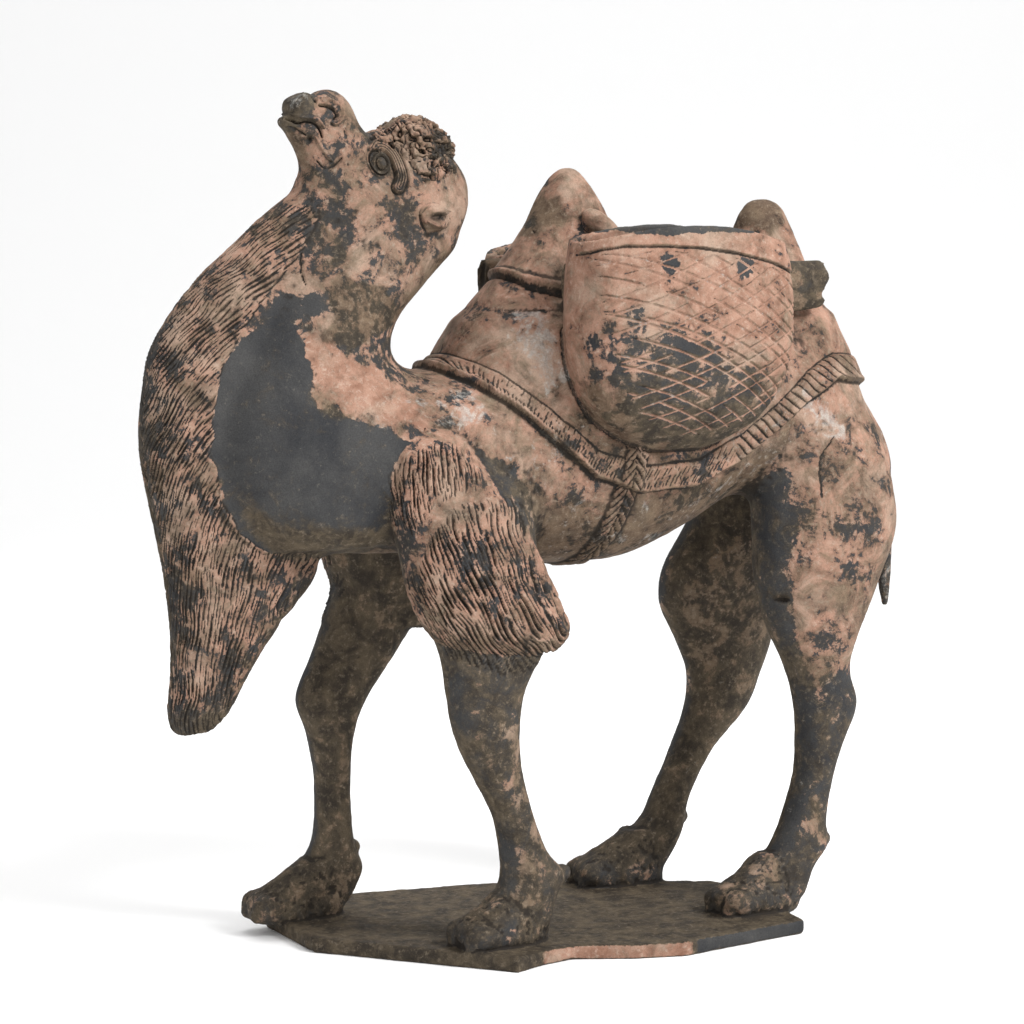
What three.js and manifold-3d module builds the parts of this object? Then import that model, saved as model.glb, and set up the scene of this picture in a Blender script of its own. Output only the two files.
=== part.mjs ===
// Pottery figure of a laden two-humped camel on a thin slab, fired as one piece.
// Millimetres, +Z up. The camel faces -X and its near side, the left one, is towards -Y.
// The origin lies in the slab's flat underside, at the middle of the four feet.

import * as THREE from 'three';
import { mergeVertices } from 'three/addons/utils/BufferGeometryUtils.js';
import Module from 'manifold-3d';

const wasm = await Module();
wasm.setup();

// Driving dimensions
const NEAR = -1;
const FAR = 1;
const WELD = 1e-4;
const SLAB_THICKNESS = 7;
const CLOTH_THICKNESS = 2.2;
const BORDER_THICKNESS = 3.4;
const GIRTH_THICKNESS = 3.2;
const HAIR_DEPTH = 1.3;

// Sections of the barrel, from chest to rump: x, underside z, top z, half width
const TORSO = [
  [-168, 222, 252, 12],
  [-158, 203, 266, 29],
  [-138, 192, 274, 41],
  [-108, 188, 273, 48],
  [-75, 186, 272, 50],
  [-40, 182, 275, 51],
  [-5, 178, 287, 53],
  [30, 179, 293, 54],
  [60, 190, 296, 53],
  [90, 205, 296, 51],
  [118, 207, 291, 49],
  [143, 198, 280, 45],
  [163, 189, 260, 38],
  [179, 192, 238, 27],
  [188, 202, 222, 11],
];

// Sections of the neck, from the throat down: front x z, rear x z, half width
const NECK = [
  [-124, 372, -92, 372, 12],
  [-131, 358, -60, 356, 20],
  [-137, 340, -50, 333, 24],
  [-145, 318, -67, 314, 28],
  [-157, 295, -84, 295, 31],
  [-173, 271, -86, 278, 35],
  [-183, 247, -62, 262, 41],
  [-180, 222, -55, 232, 44],
  [-166, 202, -60, 208, 42],
  [-150, 192, -70, 196, 34],
];

// Sections of the mane that hangs under the neck: front x z, rear x z, half width
const MANE = [
  [-131, 356, -119, 350, 6],
  [-143, 347, -122, 338, 12],
  [-158, 334, -130, 320, 16],
  [-176, 319, -139, 301, 18],
  [-191, 302, -146, 284, 19],
  [-202, 284, -152, 268, 20],
  [-206, 264, -156, 254, 20],
  [-207.5, 246, -158, 240, 20],
  [-205, 224, -156, 222, 20],
  [-200, 199, -145, 202, 19],
  [-196, 176, -122, 184, 18],
  [-194, 154, -143, 156, 16],
  [-194, 135, -156.5, 137, 14],
  [-196, 119, -166, 120, 11],
  [-193, 108, -175, 110, 6],
];
const MANE_LOCKS = 17;

// Sections of the head, from the back of the skull to the lips: top x z, bottom x z, half width
const HEAD = [
  [-47, 362, -49, 338, 12],
  [-55, 372, -61, 326, 20],
  [-68, 378, -78, 322, 24],
  [-82, 378, -94, 325, 24],
  [-93, 379, -110, 332, 21],
  [-100, 385, -122, 347, 16],
  [-104, 394, -128, 366, 12],
  [-110, 400, -132, 375, 11],
  [-117, 401.5, -137, 383, 9.5],
  [-123, 399, -134, 388, 6],
];

// Sections of the legs from the shoulder or hip down:
// z, front x, rear x, half width, distance from the middle
const NEAR_FORELEG = [
  [246, -88, -48, 10, 34],
  [225, -100, -36, 18, 37],
  [196, -98, -32, 21, 43],
  [168, -92, -32, 19, 48],
  [146, -83, -32, 16, 50],
  [126, -79, -41, 14.5, 50],
  [106, -75, -43.5, 13, 50],
  [88, -66, -41.5, 11.5, 49],
  [66, -54, -35, 10.5, 48],
  [48, -50, -27, 10.5, 47],
  [37, -50, -17, 11.5, 47],
  [28, -54, -22, 12, 47],
  [12, -60, -26, 12, 47],
];
const FAR_FORELEG = [
  [246, -104, -62, 10, 34],
  [225, -106, -50, 18, 37],
  [196, -94, -42, 21, 43],
  [168, -89, -42, 19, 48],
  [148, -95, -48, 16, 50],
  [130, -102, -60, 14.5, 50],
  [112, -109.5, -73, 13.5, 50],
  [96, -104.5, -80.5, 12, 50],
  [74, -100, -83, 10.5, 50],
  [50, -100, -82, 10.5, 50],
  [38, -103, -80, 11.5, 50],
  [28, -110, -76, 12, 50],
  [12, -112, -84, 12, 50],
];
const NEAR_HINDLEG = [
  [262, 118, 148, 10, 26],
  [240, 102, 164, 20, 29],
  [214, 97, 171, 25, 33],
  [190, 95, 171, 25, 37],
  [168, 94, 161, 21, 40],
  [145, 99, 150, 17, 42],
  [124, 109, 142, 14, 43],
  [106, 114, 147, 13, 43],
  [90, 115.5, 140, 12.5, 43],
  [70, 114, 133, 11, 43],
  [48, 107, 130.5, 11, 42],
  [37, 101.5, 132.5, 12, 42],
  [27, 94, 124, 12, 42],
  [12, 88, 118, 12, 42],
];
const FAR_HINDLEG = [
  [262, 118, 148, 10, 26],
  [240, 106, 168, 20, 29],
  [214, 105, 172, 25, 33],
  [190, 104, 172, 25, 37],
  [166, 90, 163, 21, 40],
  [148, 88, 155, 18, 42],
  [128, 98, 153, 15, 43],
  [110, 105, 146, 13.5, 43],
  [92, 103, 137, 13, 43],
  [72, 95, 117.5, 11, 43],
  [50, 84.5, 104, 10.5, 43],
  [38, 78, 101, 11.5, 43],
  [28, 66, 98, 12, 43],
  [12, 58, 88, 12, 43],
];

// Hair tuft on the upper foreleg: z, front x, rear x, half width, distance from the middle
const NEAR_TUFT = [
  [247, -92, -70, 5, 42],
  [235, -105, -61, 12, 44],
  [213, -105, -46, 17, 46],
  [190, -102, -34, 19, 49],
  [170, -97, -26, 20, 51],
  [154, -88, -20, 19, 52],
  [145, -76, -25, 14, 52],
];
const FAR_TUFT = [
  [247, -95, -77, 5, 42],
  [235, -104, -66, 12, 44],
  [213, -103, -54, 17, 46],
  [190, -97, -44, 19, 49],
  [170, -90, -36, 20, 51],
  [154, -84, -30, 19, 52],
  [145, -78, -36, 14, 52],
];
const TUFT_LOCKS = 12;

// Humps under their cloth covers: z, front x, rear x, half width
const FRONT_HUMP = [
  [254, -68, 70, 52],
  [276, -56, 58, 45],
  [297, -43, 47, 34],
  [318, -24, 40, 24],
  [336, -10.5, 31.5, 17],
  [351, -3, 23, 12],
  [360, 3, 16.5, 8],
  [364, 7, 13, 4],
];
const REAR_HUMP = [
  [254, 74, 168, 48],
  [280, 86, 158, 37],
  [302, 95, 147, 28],
  [322, 101, 139, 20],
  [336, 105, 133.5, 14],
  [346, 110, 129, 9],
  [350, 114.5, 123, 4],
];

// Padding between the humps, which carries the boards and baskets: x, underside z, top z, half width
const PAD = [
  [0, 262, 284, 30],
  [14, 252, 300, 44],
  [36, 250, 304, 47],
  [78, 250, 304, 47],
  [100, 252, 298, 42],
  [112, 262, 284, 28],
];

// The cloth cover of the front hump ends in a hem: side outline of the part above it, x z
const COVER_OUTLINE = [
  [-34, 320],
  [-12, 309],
  [60, 300],
  [60, 380],
  [-34, 380],
];
const COVER_THICKNESS = 1.8;

// Pannier basket. Rim seen from above, front inner corner to rear inner corner: x, distance from the middle
const BASKET_PLAN = [
  [-13, 38],
  [-20, 56],
  [-12, 75],
  [12, 84],
  [45, 86],
  [76, 83],
  [90, 75],
  [88, 57],
  [86, 38],
];
// How the plan shrinks towards the basket's bottom: z, share of its length, share of its bulge
const BASKET_LEVELS = [
  [235, 0.3, 0.42],
  [240, 0.52, 0.58],
  [250, 0.76, 0.78],
  [264, 0.91, 0.92],
  [280, 0.99, 1],
  [300, 1, 1],
  [318, 0.98, 0.96],
  [331, 0.94, 0.9],
];
const BASKET_MIDDLE = 38;
const BASKET_INSIDE = 38;
const BASKET_WALL = 5;
const BASKET_FLOOR = 264;
const BASKET_SIDES = 20;
const HOLLOW_SIDES = 10;
const BASKET_ROWS = 12;
const LATTICE_DEPTH = 0.9;
// How far the hollow is cut above the rim
const RIM_CLEARANCE = 12;

// The rim rises in a low arch: how high, its middle and half length along x, and where it starts
const RIM_ARCH = { rise: 7.8, middle: -5, halfLength: 52, from: 290, run: 40 };

// Each side's basket: how far back and down it sits beside the near one
const LOADS = [
  { side: NEAR, back: 0, down: 0, boardFront: -8 },
  { side: FAR, back: 15, down: 9, boardFront: -14 },
];

// Pack boards between hump and basket
const BOARD = { rear: 132, z: 308, out: 36, halfHeight: 11, halfWidth: 6 };

// Fold of the cover behind the front hump: middle, radii and tilt in degrees
const COVER_FOLD = { at: [21, -21, 338], radii: [6, 9, 10], tilt: 35 };

// Side outline of the saddle cloth below the humps, x z, starting at the withers
const CLOTH_OUTLINE = [
  [-84, 300],
  [-79, 281],
  [-64, 271],
  [-44, 258],
  [-24, 240],
  [-4, 223],
  [22, 215],
  [52, 217],
  [74, 227],
  [95, 240],
  [116, 255],
  [136, 263],
  [154, 261],
  [180, 254],
  [190, 300],
];
const BORDER_WIDTH = 12;

// Corners of the slab, x y, and the chipped notch in its near edge
const SLAB_CORNERS = [
  [-124, 3],
  [-58, -78],
  [-40, -71],
  [-23, -67],
  [4, -80],
  [28, -86],
  [101, -72],
  [115, 9],
  [108, 26],
  [84, 39],
  [52, 66],
  [-68, 85],
  [-122, 63],
];

// Feet: middle of the pad x y, and how far the toes turn from -X, in degrees
const FEET = [
  { x: -48, y: -47, turn: 8 },
  { x: -109.5, y: 49, turn: -4 },
  { x: 94, y: -42, turn: 8 },
  { x: 66, y: 43, turn: -4 },
];
// Sections of a foot: z, front x, rear x, half width
const FOOT = [
  [0, -24, 21, 13],
  [5, -26, 22, 15],
  [12, -25, 22, 14],
  [20, -11, 21, 11.5],
  [28, 1, 19, 9],
];
const TOE = { x: -17, out: 7.5, z: 6, radii: [10, 7.5, 8] };
// How far the feet are sunk into the slab
const SUNK = 1;

// Girth strap under the belly: its front lower corner, height and lean
const GIRTH = { front: -3, low: 170, high: 236, lean: 14, width: 11 };

// Lumps on the middle of the head: place, radii and tilt in degrees
const UPPER_LIP = { at: [-130.5, 0, 395], radii: [5.5, 8, 6.8], tilt: -12 };
const LOWER_LIP = { at: [-134, 0, 385], radii: [6, 7, 3.5], tilt: 25 };
const FORELOCK = { at: [-70.5, 0, 376.5], radii: [18.5, 17, 12], tilt: 16 };
// Lumps on each side of the head, placed by x, distance from the middle, z
const EYE = { at: [-97, 19, 368], radii: [5.5, 5, 5.5], tilt: 0 };
const CHEEK = { at: [-100, 13, 344], radii: [21, 12, 19], tilt: 20 };
const EAR = { at: [-73, 23, 345], radii: [8, 4.5, 5], tilt: -20 };
const BROW = [
  [-106, 15, 371],
  [-101, 18.5, 377],
  [-93, 20.5, 377],
  [-88, 23, 370],
  [-88, 24, 362],
];
const BROW_RADIUS = 2.6;

// Sections of the tail, front x z, rear x z, half width
const TAIL = [
  [182, 214, 186, 214, 4],
  [184, 196, 195, 198, 5],
  [188, 178, 197, 180, 5],
  [190, 162, 197, 161, 4],
  [193, 145, 196, 145, 1.5],
];

// How finely the forms are cut
const BODY_SIDES = 18;
const HEAD_SIDES = 16;
const LUMP_SIDES = 8;
const LARGE_LUMP_SIDES = 12;
const SMALL_SIDES = 8;
const ROLL_CORNERS = 6;
const ROLL_STEPS = 6;
// Longer than the figure is wide, for cuts that go right through it
const THROUGH = 240;

// Smooth value between evenly spaced knots
function between(knots, place) {
  const last = knots.length - 1;
  const step = Math.min(Math.floor(place), last - 1);
  const t = place - step;
  const a = knots[Math.max(step - 1, 0)];
  const b = knots[step];
  const c = knots[step + 1];
  const d = knots[Math.min(step + 2, last)];
  const slope = c - a;
  const bend = 2 * a - 5 * b + 4 * c - d;
  const twist = 3 * b - a - 3 * c + d;
  return 0.5 * (2 * b + slope * t + bend * t ** 2 + twist * t ** 3);
}

// A solid from points and triangles, turned the right way out
function solid(points, faces) {
  const cross = new THREE.Vector3();
  let volume = 0;
  for (const [a, b, c] of faces) {
    volume += points[a].dot(cross.crossVectors(points[b], points[c]));
  }
  const triVerts = faces.flatMap(([a, b, c]) => (volume > 0 ? [a, b, c] : [a, c, b]));
  const vertProperties = points.flatMap((point) => [point.x, point.y, point.z]);
  return new wasm.Manifold(
    new wasm.Mesh({
      numProp: 3,
      vertProperties: new Float32Array(vertProperties),
      triVerts: new Uint32Array(triVerts),
    }),
  );
}

// A solid from one of three's closed geometries
function solidOf(geometry) {
  geometry.deleteAttribute('normal');
  geometry.deleteAttribute('uv');
  const merged = mergeVertices(geometry, WELD);
  const points = [];
  for (let i = 0; i < merged.attributes.position.count; i += 1) {
    points.push(new THREE.Vector3().fromBufferAttribute(merged.attributes.position, i));
  }
  const faces = [];
  for (let i = 0; i < merged.index.count; i += 3) {
    faces.push([merged.index.getX(i), merged.index.getX(i + 1), merged.index.getX(i + 2)]);
  }
  return solid(points, faces);
}

// A closed solid over rows of points, with a middle point closing each end.
// The quads are cut along alternate diagonals, so that the cuts form a diamond lattice.
function skin(rows) {
  const sides = rows[0].length;
  const points = rows.flat();
  const first = points.length;
  for (const row of [rows[0], rows[rows.length - 1]]) {
    const middle = new THREE.Vector3();
    row.forEach((point) => middle.addScaledVector(point, 1 / sides));
    points.push(middle);
  }
  const faces = [];
  for (let r = 0; r < rows.length - 1; r += 1) {
    for (let s = 0; s < sides; s += 1) {
      const next = (s + 1) % sides;
      const below = r * sides;
      const above = below + sides;
      const quad = [below + s, below + next, above + next, above + s];
      const turned = (r + s) % 2;
      faces.push([quad[turned], quad[turned + 1], quad[turned + 2]]);
      faces.push([quad[turned], quad[turned + 2], quad[(turned + 3) % 4]]);
    }
  }
  const end = (rows.length - 1) * sides;
  for (let s = 0; s < sides; s += 1) {
    const next = (s + 1) % sides;
    faces.push([first, next, s]);
    faces.push([first + 1, end + s, end + next]);
  }
  return solid(points, faces);
}

// Position on a rounded ring: an ellipse when fullness is 2, squarer above it
const rounded = (value, fullness) => Math.sign(value) * Math.abs(value) ** (2 / fullness);

// A body whose sections are rounded rings. Each section is a row of
// one edge x z, the other edge x z, half width and middle y.
function loft(sections, { sides = 12, fullness = 2.2, swell = 0, relief = () => 0 } = {}) {
  const rows = sections.map(([ax, az, bx, bz, half, y = 0]) => {
    const deep = Math.hypot(ax - bx, az - bz) / 2;
    const row = [];
    for (let s = 0; s < sides; s += 1) {
      const angle = (2 * Math.PI * s) / sides;
      const grow = swell + relief(s);
      const along = rounded(Math.cos(angle), fullness) * (1 + grow / deep) * 0.5;
      const out = rounded(Math.sin(angle), fullness) * (half + grow);
      const x = (ax + bx) / 2 + (ax - bx) * along;
      const z = (az + bz) / 2 + (az - bz) * along;
      row.push(new THREE.Vector3(x, y + out, z));
    }
    return row;
  });
  return skin(rows);
}

// Rows of the limb and hump tables as sections for loft
const limbSections = (rows, side) =>
  rows.map(([z, front, rear, half, out]) => [front, z, rear, z, half, side * (out ?? 0)]);
const barrelSections = (rows) => rows.map(([x, low, high, half]) => [x, low, x, high, half]);
const torsoSections = barrelSections(TORSO);

// A rounded lump with its three radii, tipped in the side view by tilt degrees
function lump({ at: [x, out, z], radii, tilt }, side = FAR, around = LUMP_SIDES) {
  const geometry = new THREE.SphereGeometry(1, around, Math.ceil(around * 0.6));
  geometry.scale(...radii);
  geometry.rotateY(THREE.MathUtils.degToRad(tilt));
  geometry.translate(x, side * out, z);
  return solidOf(geometry);
}

// A round cord of clay along a smooth line
function roll(points, radius) {
  const shape = new THREE.Shape();
  for (let i = 0; i < ROLL_CORNERS; i += 1) {
    const angle = (2 * Math.PI * i) / ROLL_CORNERS;
    const corner = [radius * Math.cos(angle), radius * Math.sin(angle)];
    if (i) shape.lineTo(...corner);
    else shape.moveTo(...corner);
  }
  const extrudePath = new THREE.CatmullRomCurve3(points.map((point) => new THREE.Vector3(...point)));
  const settings = { steps: ROLL_STEPS, bevelEnabled: false, extrudePath };
  return solidOf(new THREE.ExtrudeGeometry(shape, settings));
}

// A side outline pushed through the whole width of the figure
function throughWidth(outline) {
  const shape = new THREE.Shape(outline.map(([x, z]) => new THREE.Vector2(x, z)));
  const geometry = new THREE.ExtrudeGeometry(shape, { depth: THROUGH, bevelEnabled: false });
  geometry.rotateX(Math.PI / 2);
  geometry.translate(0, THROUGH / 2, 0);
  return solidOf(geometry);
}

function makeSlab() {
  const shape = new THREE.Shape(SLAB_CORNERS.map(([x, y]) => new THREE.Vector2(x, y)));
  const geometry = new THREE.ExtrudeGeometry(shape, { depth: SLAB_THICKNESS, bevelEnabled: false });
  return solidOf(geometry);
}

function makeFoot({ x, y, turn }) {
  let foot = loft(limbSections(FOOT, NEAR));
  for (const side of [NEAR, FAR]) {
    foot = foot.add(lump({ at: [TOE.x, TOE.out, TOE.z], radii: TOE.radii, tilt: 0 }, side));
  }
  const ground = new THREE.BoxGeometry(THROUGH, THROUGH, THROUGH);
  ground.translate(0, 0, -THROUGH / 2);
  return foot
    .subtract(solidOf(ground))
    .rotate([0, 0, turn])
    .translate([x, y, SLAB_THICKNESS - SUNK]);
}

// Grooves between locks of hair: every second edge of the ring is cut in
const locks = (s) => (s % 2 ? -HAIR_DEPTH : 0);

function makeTuft(rows, side) {
  return loft(limbSections(rows, side), { sides: TUFT_LOCKS * 2, relief: locks });
}

// A basket's rim seen from above, with points along the straight inner side too
function basketPlan(outerSteps) {
  const corners = BASKET_PLAN.map(([x, out]) => new THREE.Vector3(x, out, 0));
  const curve = new THREE.CatmullRomCurve3(corners, false, 'centripetal');
  const outer = curve.getSpacedPoints(outerSteps);
  const [first, last] = [outer[0], outer[outerSteps]];
  const inner = [0.75, 0.5, 0.25].map((share) => first.clone().lerp(last, share));
  return [...outer, ...inner];
}

// Rows of a basket from its bottom to its rim. Grow makes it smaller for the hollow inside.
function basketRows({ side, back, down }, levels, outerSteps, grow = 0) {
  const plan = basketPlan(outerSteps);
  return levels.map(([z, long, bulge], r) =>
    plan.map((point, s) => {
      const scored = s > 0 && s < outerSteps && r > 0 && r < levels.length - 2;
      const proud = scored && (r + s) % 2 && grow === 0 ? LATTICE_DEPTH : 0;
      const x = (point.x - BASKET_MIDDLE) * long;
      const out = (point.y - BASKET_INSIDE) * bulge;
      const reach = Math.hypot(x, out) || 1;
      const share = (reach + proud + grow) / reach;
      const height = Math.max(0, (z - RIM_ARCH.from) / RIM_ARCH.run);
      const arch = 1 - ((x - RIM_ARCH.middle) / RIM_ARCH.halfLength) ** 2;
      const inside = s > outerSteps || out === 0 ? -grow : out * share;
      return new THREE.Vector3(
        BASKET_MIDDLE + back + x * share,
        side * (BASKET_INSIDE + inside),
        z + RIM_ARCH.rise * arch * height - down,
      );
    }),
  );
}

function levelAt(place) {
  return [0, 1, 2].map((column) => between(BASKET_LEVELS.map((level) => level[column]), place));
}

function makeBasket(load) {
  const levels = [];
  for (let r = 0; r <= BASKET_ROWS; r += 1) {
    levels.push(levelAt((r / BASKET_ROWS) * (BASKET_LEVELS.length - 1)));
  }
  const shell = skin(basketRows(load, levels, BASKET_SIDES));
  const hollow = BASKET_LEVELS.filter(([z]) => z >= BASKET_FLOOR);
  const [rim, long, bulge] = hollow[hollow.length - 1];
  const above = [rim + RIM_CLEARANCE, long, bulge];
  return shell.subtract(skin(basketRows(load, [...hollow, above], HOLLOW_SIDES, -BASKET_WALL)));
}

function makeBoard({ side, boardFront }) {
  const { rear, z, out, halfHeight, halfWidth } = BOARD;
  const sections = [
    [boardFront, z + 6, boardFront, z + 13, 2, side * out],
    [boardFront + 9, z - halfHeight, boardFront + 9, z + halfHeight + 3, halfWidth, side * out],
    [rear - 8, z - halfHeight, rear - 8, z + halfHeight + 2, halfWidth, side * out],
    [rear, z - 7, rear, z + 5, 4, side * out],
  ];
  return loft(sections, { sides: SMALL_SIDES, fullness: 3 });
}

function makeSaddleCloth() {
  const cloth = loft(torsoSections, { sides: BODY_SIDES, swell: CLOTH_THICKNESS });
  const raised = loft(torsoSections, { sides: BODY_SIDES, swell: BORDER_THICKNESS });
  const outline = throughWidth(CLOTH_OUTLINE);
  const inner = throughWidth(CLOTH_OUTLINE.map(([x, z]) => [x, z + BORDER_WIDTH]));
  return cloth.intersect(outline).add(raised.intersect(outline.subtract(inner)));
}

function makeGirth() {
  const { front, low, high, lean, width } = GIRTH;
  const band = throughWidth([
    [front, low],
    [front + width, low],
    [front + width + lean, high],
    [front + lean, high],
  ]);
  return loft(torsoSections, { sides: BODY_SIDES, swell: GIRTH_THICKNESS }).intersect(band);
}

function makeHumps() {
  const front = limbSections(FRONT_HUMP, NEAR);
  const cover = loft(front, { swell: COVER_THICKNESS }).intersect(throughWidth(COVER_OUTLINE));
  return loft(front)
    .add(cover)
    .add(lump(COVER_FOLD))
    .add(loft(limbSections(REAR_HUMP, NEAR)));
}

function makeHead() {
  let head = loft(HEAD, { sides: HEAD_SIDES })
    .add(lump(UPPER_LIP))
    .add(lump(LOWER_LIP))
    .add(lump(FORELOCK, FAR, LARGE_LUMP_SIDES));
  for (const side of [NEAR, FAR]) {
    const brow = BROW.map(([x, out, z]) => [x, side * out, z]);
    head = head
      .add(roll(brow, BROW_RADIUS))
      .add(lump(EYE, side))
      .add(lump(CHEEK, side, LARGE_LUMP_SIDES))
      .add(lump(EAR, side));
  }
  return head;
}

function makeCamel() {
  const parts = [
    loft(torsoSections, { sides: BODY_SIDES }),
    loft(NECK, { sides: BODY_SIDES }),
    loft(MANE, { sides: MANE_LOCKS * 2, fullness: 2.4, relief: locks }),
    makeHead(),
    loft(TAIL, { sides: SMALL_SIDES }),
    loft(limbSections(NEAR_FORELEG, NEAR)),
    loft(limbSections(FAR_FORELEG, FAR)),
    loft(limbSections(NEAR_HINDLEG, NEAR)),
    loft(limbSections(FAR_HINDLEG, FAR)),
    makeTuft(NEAR_TUFT, NEAR),
    makeTuft(FAR_TUFT, FAR),
    makeHumps(),
    loft(barrelSections(PAD), { fullness: 3 }),
    makeSaddleCloth(),
    makeGirth(),
    makeSlab(),
    ...FEET.map(makeFoot),
    ...LOADS.map(makeBasket),
    ...LOADS.map(makeBoard),
  ];
  return parts.reduce((whole, part) => whole.add(part));
}

function meshOf(body, name, material) {
  const { vertProperties, triVerts } = body.getMesh();
  const geometry = new THREE.BufferGeometry();
  geometry.setAttribute('position', new THREE.BufferAttribute(vertProperties, 3));
  geometry.setIndex(new THREE.BufferAttribute(triVerts, 1));
  geometry.computeVertexNormals();
  const mesh = new THREE.Mesh(geometry, material);
  mesh.name = name;
  return mesh;
}

const pottery = new THREE.MeshStandardMaterial({ color: 0x8a6a5c, roughness: 0.9, metalness: 0 });

const group = new THREE.Group();
group.add(meshOf(makeCamel(), 'camel_figure', pottery));

export default group;
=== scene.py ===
"""Pottery camel figure: the modelled clay surface, its worn pigment, a pale floor and soft light."""

import math

import bpy
import numpy as np
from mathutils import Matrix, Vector
from mathutils.bvhtree import BVHTree
from mathutils.geometry import tessellate_polygon


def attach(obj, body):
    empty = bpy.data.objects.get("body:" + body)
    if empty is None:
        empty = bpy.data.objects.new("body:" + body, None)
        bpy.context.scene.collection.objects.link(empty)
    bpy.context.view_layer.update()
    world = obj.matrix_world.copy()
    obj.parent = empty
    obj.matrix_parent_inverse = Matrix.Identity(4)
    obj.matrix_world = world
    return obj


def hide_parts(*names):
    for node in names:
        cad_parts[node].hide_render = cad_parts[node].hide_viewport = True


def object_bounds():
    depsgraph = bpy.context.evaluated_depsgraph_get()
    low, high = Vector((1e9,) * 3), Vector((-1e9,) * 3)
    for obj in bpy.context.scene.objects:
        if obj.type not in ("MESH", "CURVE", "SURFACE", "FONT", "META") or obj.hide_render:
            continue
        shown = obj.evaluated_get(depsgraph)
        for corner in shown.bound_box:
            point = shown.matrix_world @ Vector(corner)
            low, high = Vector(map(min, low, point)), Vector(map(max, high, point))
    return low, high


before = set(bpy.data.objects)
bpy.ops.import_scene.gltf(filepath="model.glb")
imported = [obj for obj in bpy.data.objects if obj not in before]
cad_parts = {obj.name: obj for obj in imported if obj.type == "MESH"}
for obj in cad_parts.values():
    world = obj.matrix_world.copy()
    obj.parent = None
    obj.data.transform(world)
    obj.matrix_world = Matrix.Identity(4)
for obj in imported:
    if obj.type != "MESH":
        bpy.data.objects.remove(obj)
cad_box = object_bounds()

# All tables are in millimetres: x towards the tail, y towards the far side, z up.
MM = 0.001
NEAR, FAR = -1, 1
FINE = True
CORE_VOXEL = 2.0
VOXEL = 1.0 if FINE else 1.6
# Most triangles in the whole skin
TRIANGLES = 930000
# How far from flat the ring round a cut may be to get a lid, and its fewest points
FLATNESS = 5
RING = 12
# The camera's turn round the figure and its downward tilt
AZIMUTH, PITCH = math.radians(28), math.radians(5.9)

# Sections of the barrel, from chest to rump: x, underside z, top z, half width
TORSO = [
    (-168, 222, 252, 12), (-158, 203, 266, 29), (-138, 192, 274, 41), (-108, 188, 273, 48),
    (-75, 186, 272, 50), (-40, 182, 275, 51), (-5, 178, 287, 53), (30, 179, 293, 54),
    (60, 190, 296, 53), (90, 205, 296, 51), (118, 207, 291, 49), (143, 198, 280, 45),
    (163, 189, 260, 38), (179, 192, 238, 27), (188, 202, 222, 11),
]
# Sections of neck, mane and head: front x z, rear x z, half width
NECK = [
    (-124, 372, -92, 372, 12), (-131, 358, -60, 356, 20), (-137, 340, -50, 333, 24),
    (-145, 318, -67, 314, 28), (-157, 295, -84, 295, 31), (-173, 271, -86, 278, 35),
    (-183, 247, -62, 262, 41), (-180, 222, -55, 232, 44), (-166, 202, -60, 208, 42),
    (-150, 192, -70, 196, 34),
]
MANE = [
    (-131, 356, -119, 350, 6), (-143, 347, -122, 338, 12), (-158, 334, -130, 320, 16),
    (-176, 319, -139, 301, 18), (-191, 302, -146, 284, 19), (-202, 284, -152, 268, 20),
    (-206, 264, -156, 254, 20), (-207.5, 246, -158, 240, 20), (-205, 224, -156, 222, 20),
    (-200, 199, -145, 202, 19), (-196, 176, -122, 184, 18), (-194, 154, -143, 156, 16),
    (-194, 135, -156.5, 137, 14), (-196, 119, -166, 120, 11), (-193, 108, -175, 110, 6),
]
HEAD = [
    (-47, 362, -49, 338, 12), (-55, 372, -61, 326, 20), (-68, 378, -78, 322, 24),
    (-82, 378, -94, 325, 24), (-93, 379, -110, 332, 21), (-100, 385, -122, 347, 16),
    (-104, 394, -128, 366, 12), (-110, 400, -132, 375, 11), (-117, 401.5, -137, 383, 9.5),
    (-123, 399, -134, 388, 6),
]
TAIL = [
    (182, 214, 186, 214, 4), (184, 196, 195, 198, 5), (188, 178, 197, 180, 5),
    (190, 162, 197, 161, 4), (193, 145, 196, 145, 1.5),
]
# Sections of the legs and hair tufts: z, front x, rear x, half width, distance from the middle
NEAR_FORELEG = [
    (246, -88, -48, 10, 34), (225, -100, -36, 18, 37), (196, -98, -32, 21, 43),
    (168, -92, -32, 19, 48), (146, -83, -32, 16, 50), (126, -79, -41, 14.5, 50),
    (106, -75, -43.5, 13, 50), (88, -66, -41.5, 11.5, 49), (66, -54, -35, 10.5, 48),
    (48, -50, -27, 10.5, 47), (37, -50, -17, 11.5, 47), (28, -54, -22, 12, 47),
    (12, -60, -26, 12, 47),
]
FAR_FORELEG = [
    (246, -104, -62, 10, 34), (225, -106, -50, 18, 37), (196, -94, -42, 21, 43),
    (168, -89, -42, 19, 48), (148, -95, -48, 16, 50), (130, -102, -60, 14.5, 50),
    (112, -109.5, -73, 13.5, 50), (96, -104.5, -80.5, 12, 50), (74, -100, -83, 10.5, 50),
    (50, -100, -82, 10.5, 50), (38, -103, -80, 11.5, 50), (28, -110, -76, 12, 50),
    (12, -112, -84, 12, 50),
]
NEAR_HINDLEG = [
    (262, 118, 148, 10, 26), (240, 102, 164, 20, 29), (214, 97, 171, 25, 33),
    (190, 95, 171, 25, 37), (168, 94, 161, 21, 40), (145, 99, 150, 17, 42),
    (124, 109, 142, 14, 43), (106, 114, 147, 13, 43), (90, 115.5, 140, 12.5, 43),
    (70, 114, 133, 11, 43), (48, 107, 130.5, 11, 42), (37, 101.5, 132.5, 12, 42),
    (27, 94, 124, 12, 42), (12, 88, 118, 12, 42),
]
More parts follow.
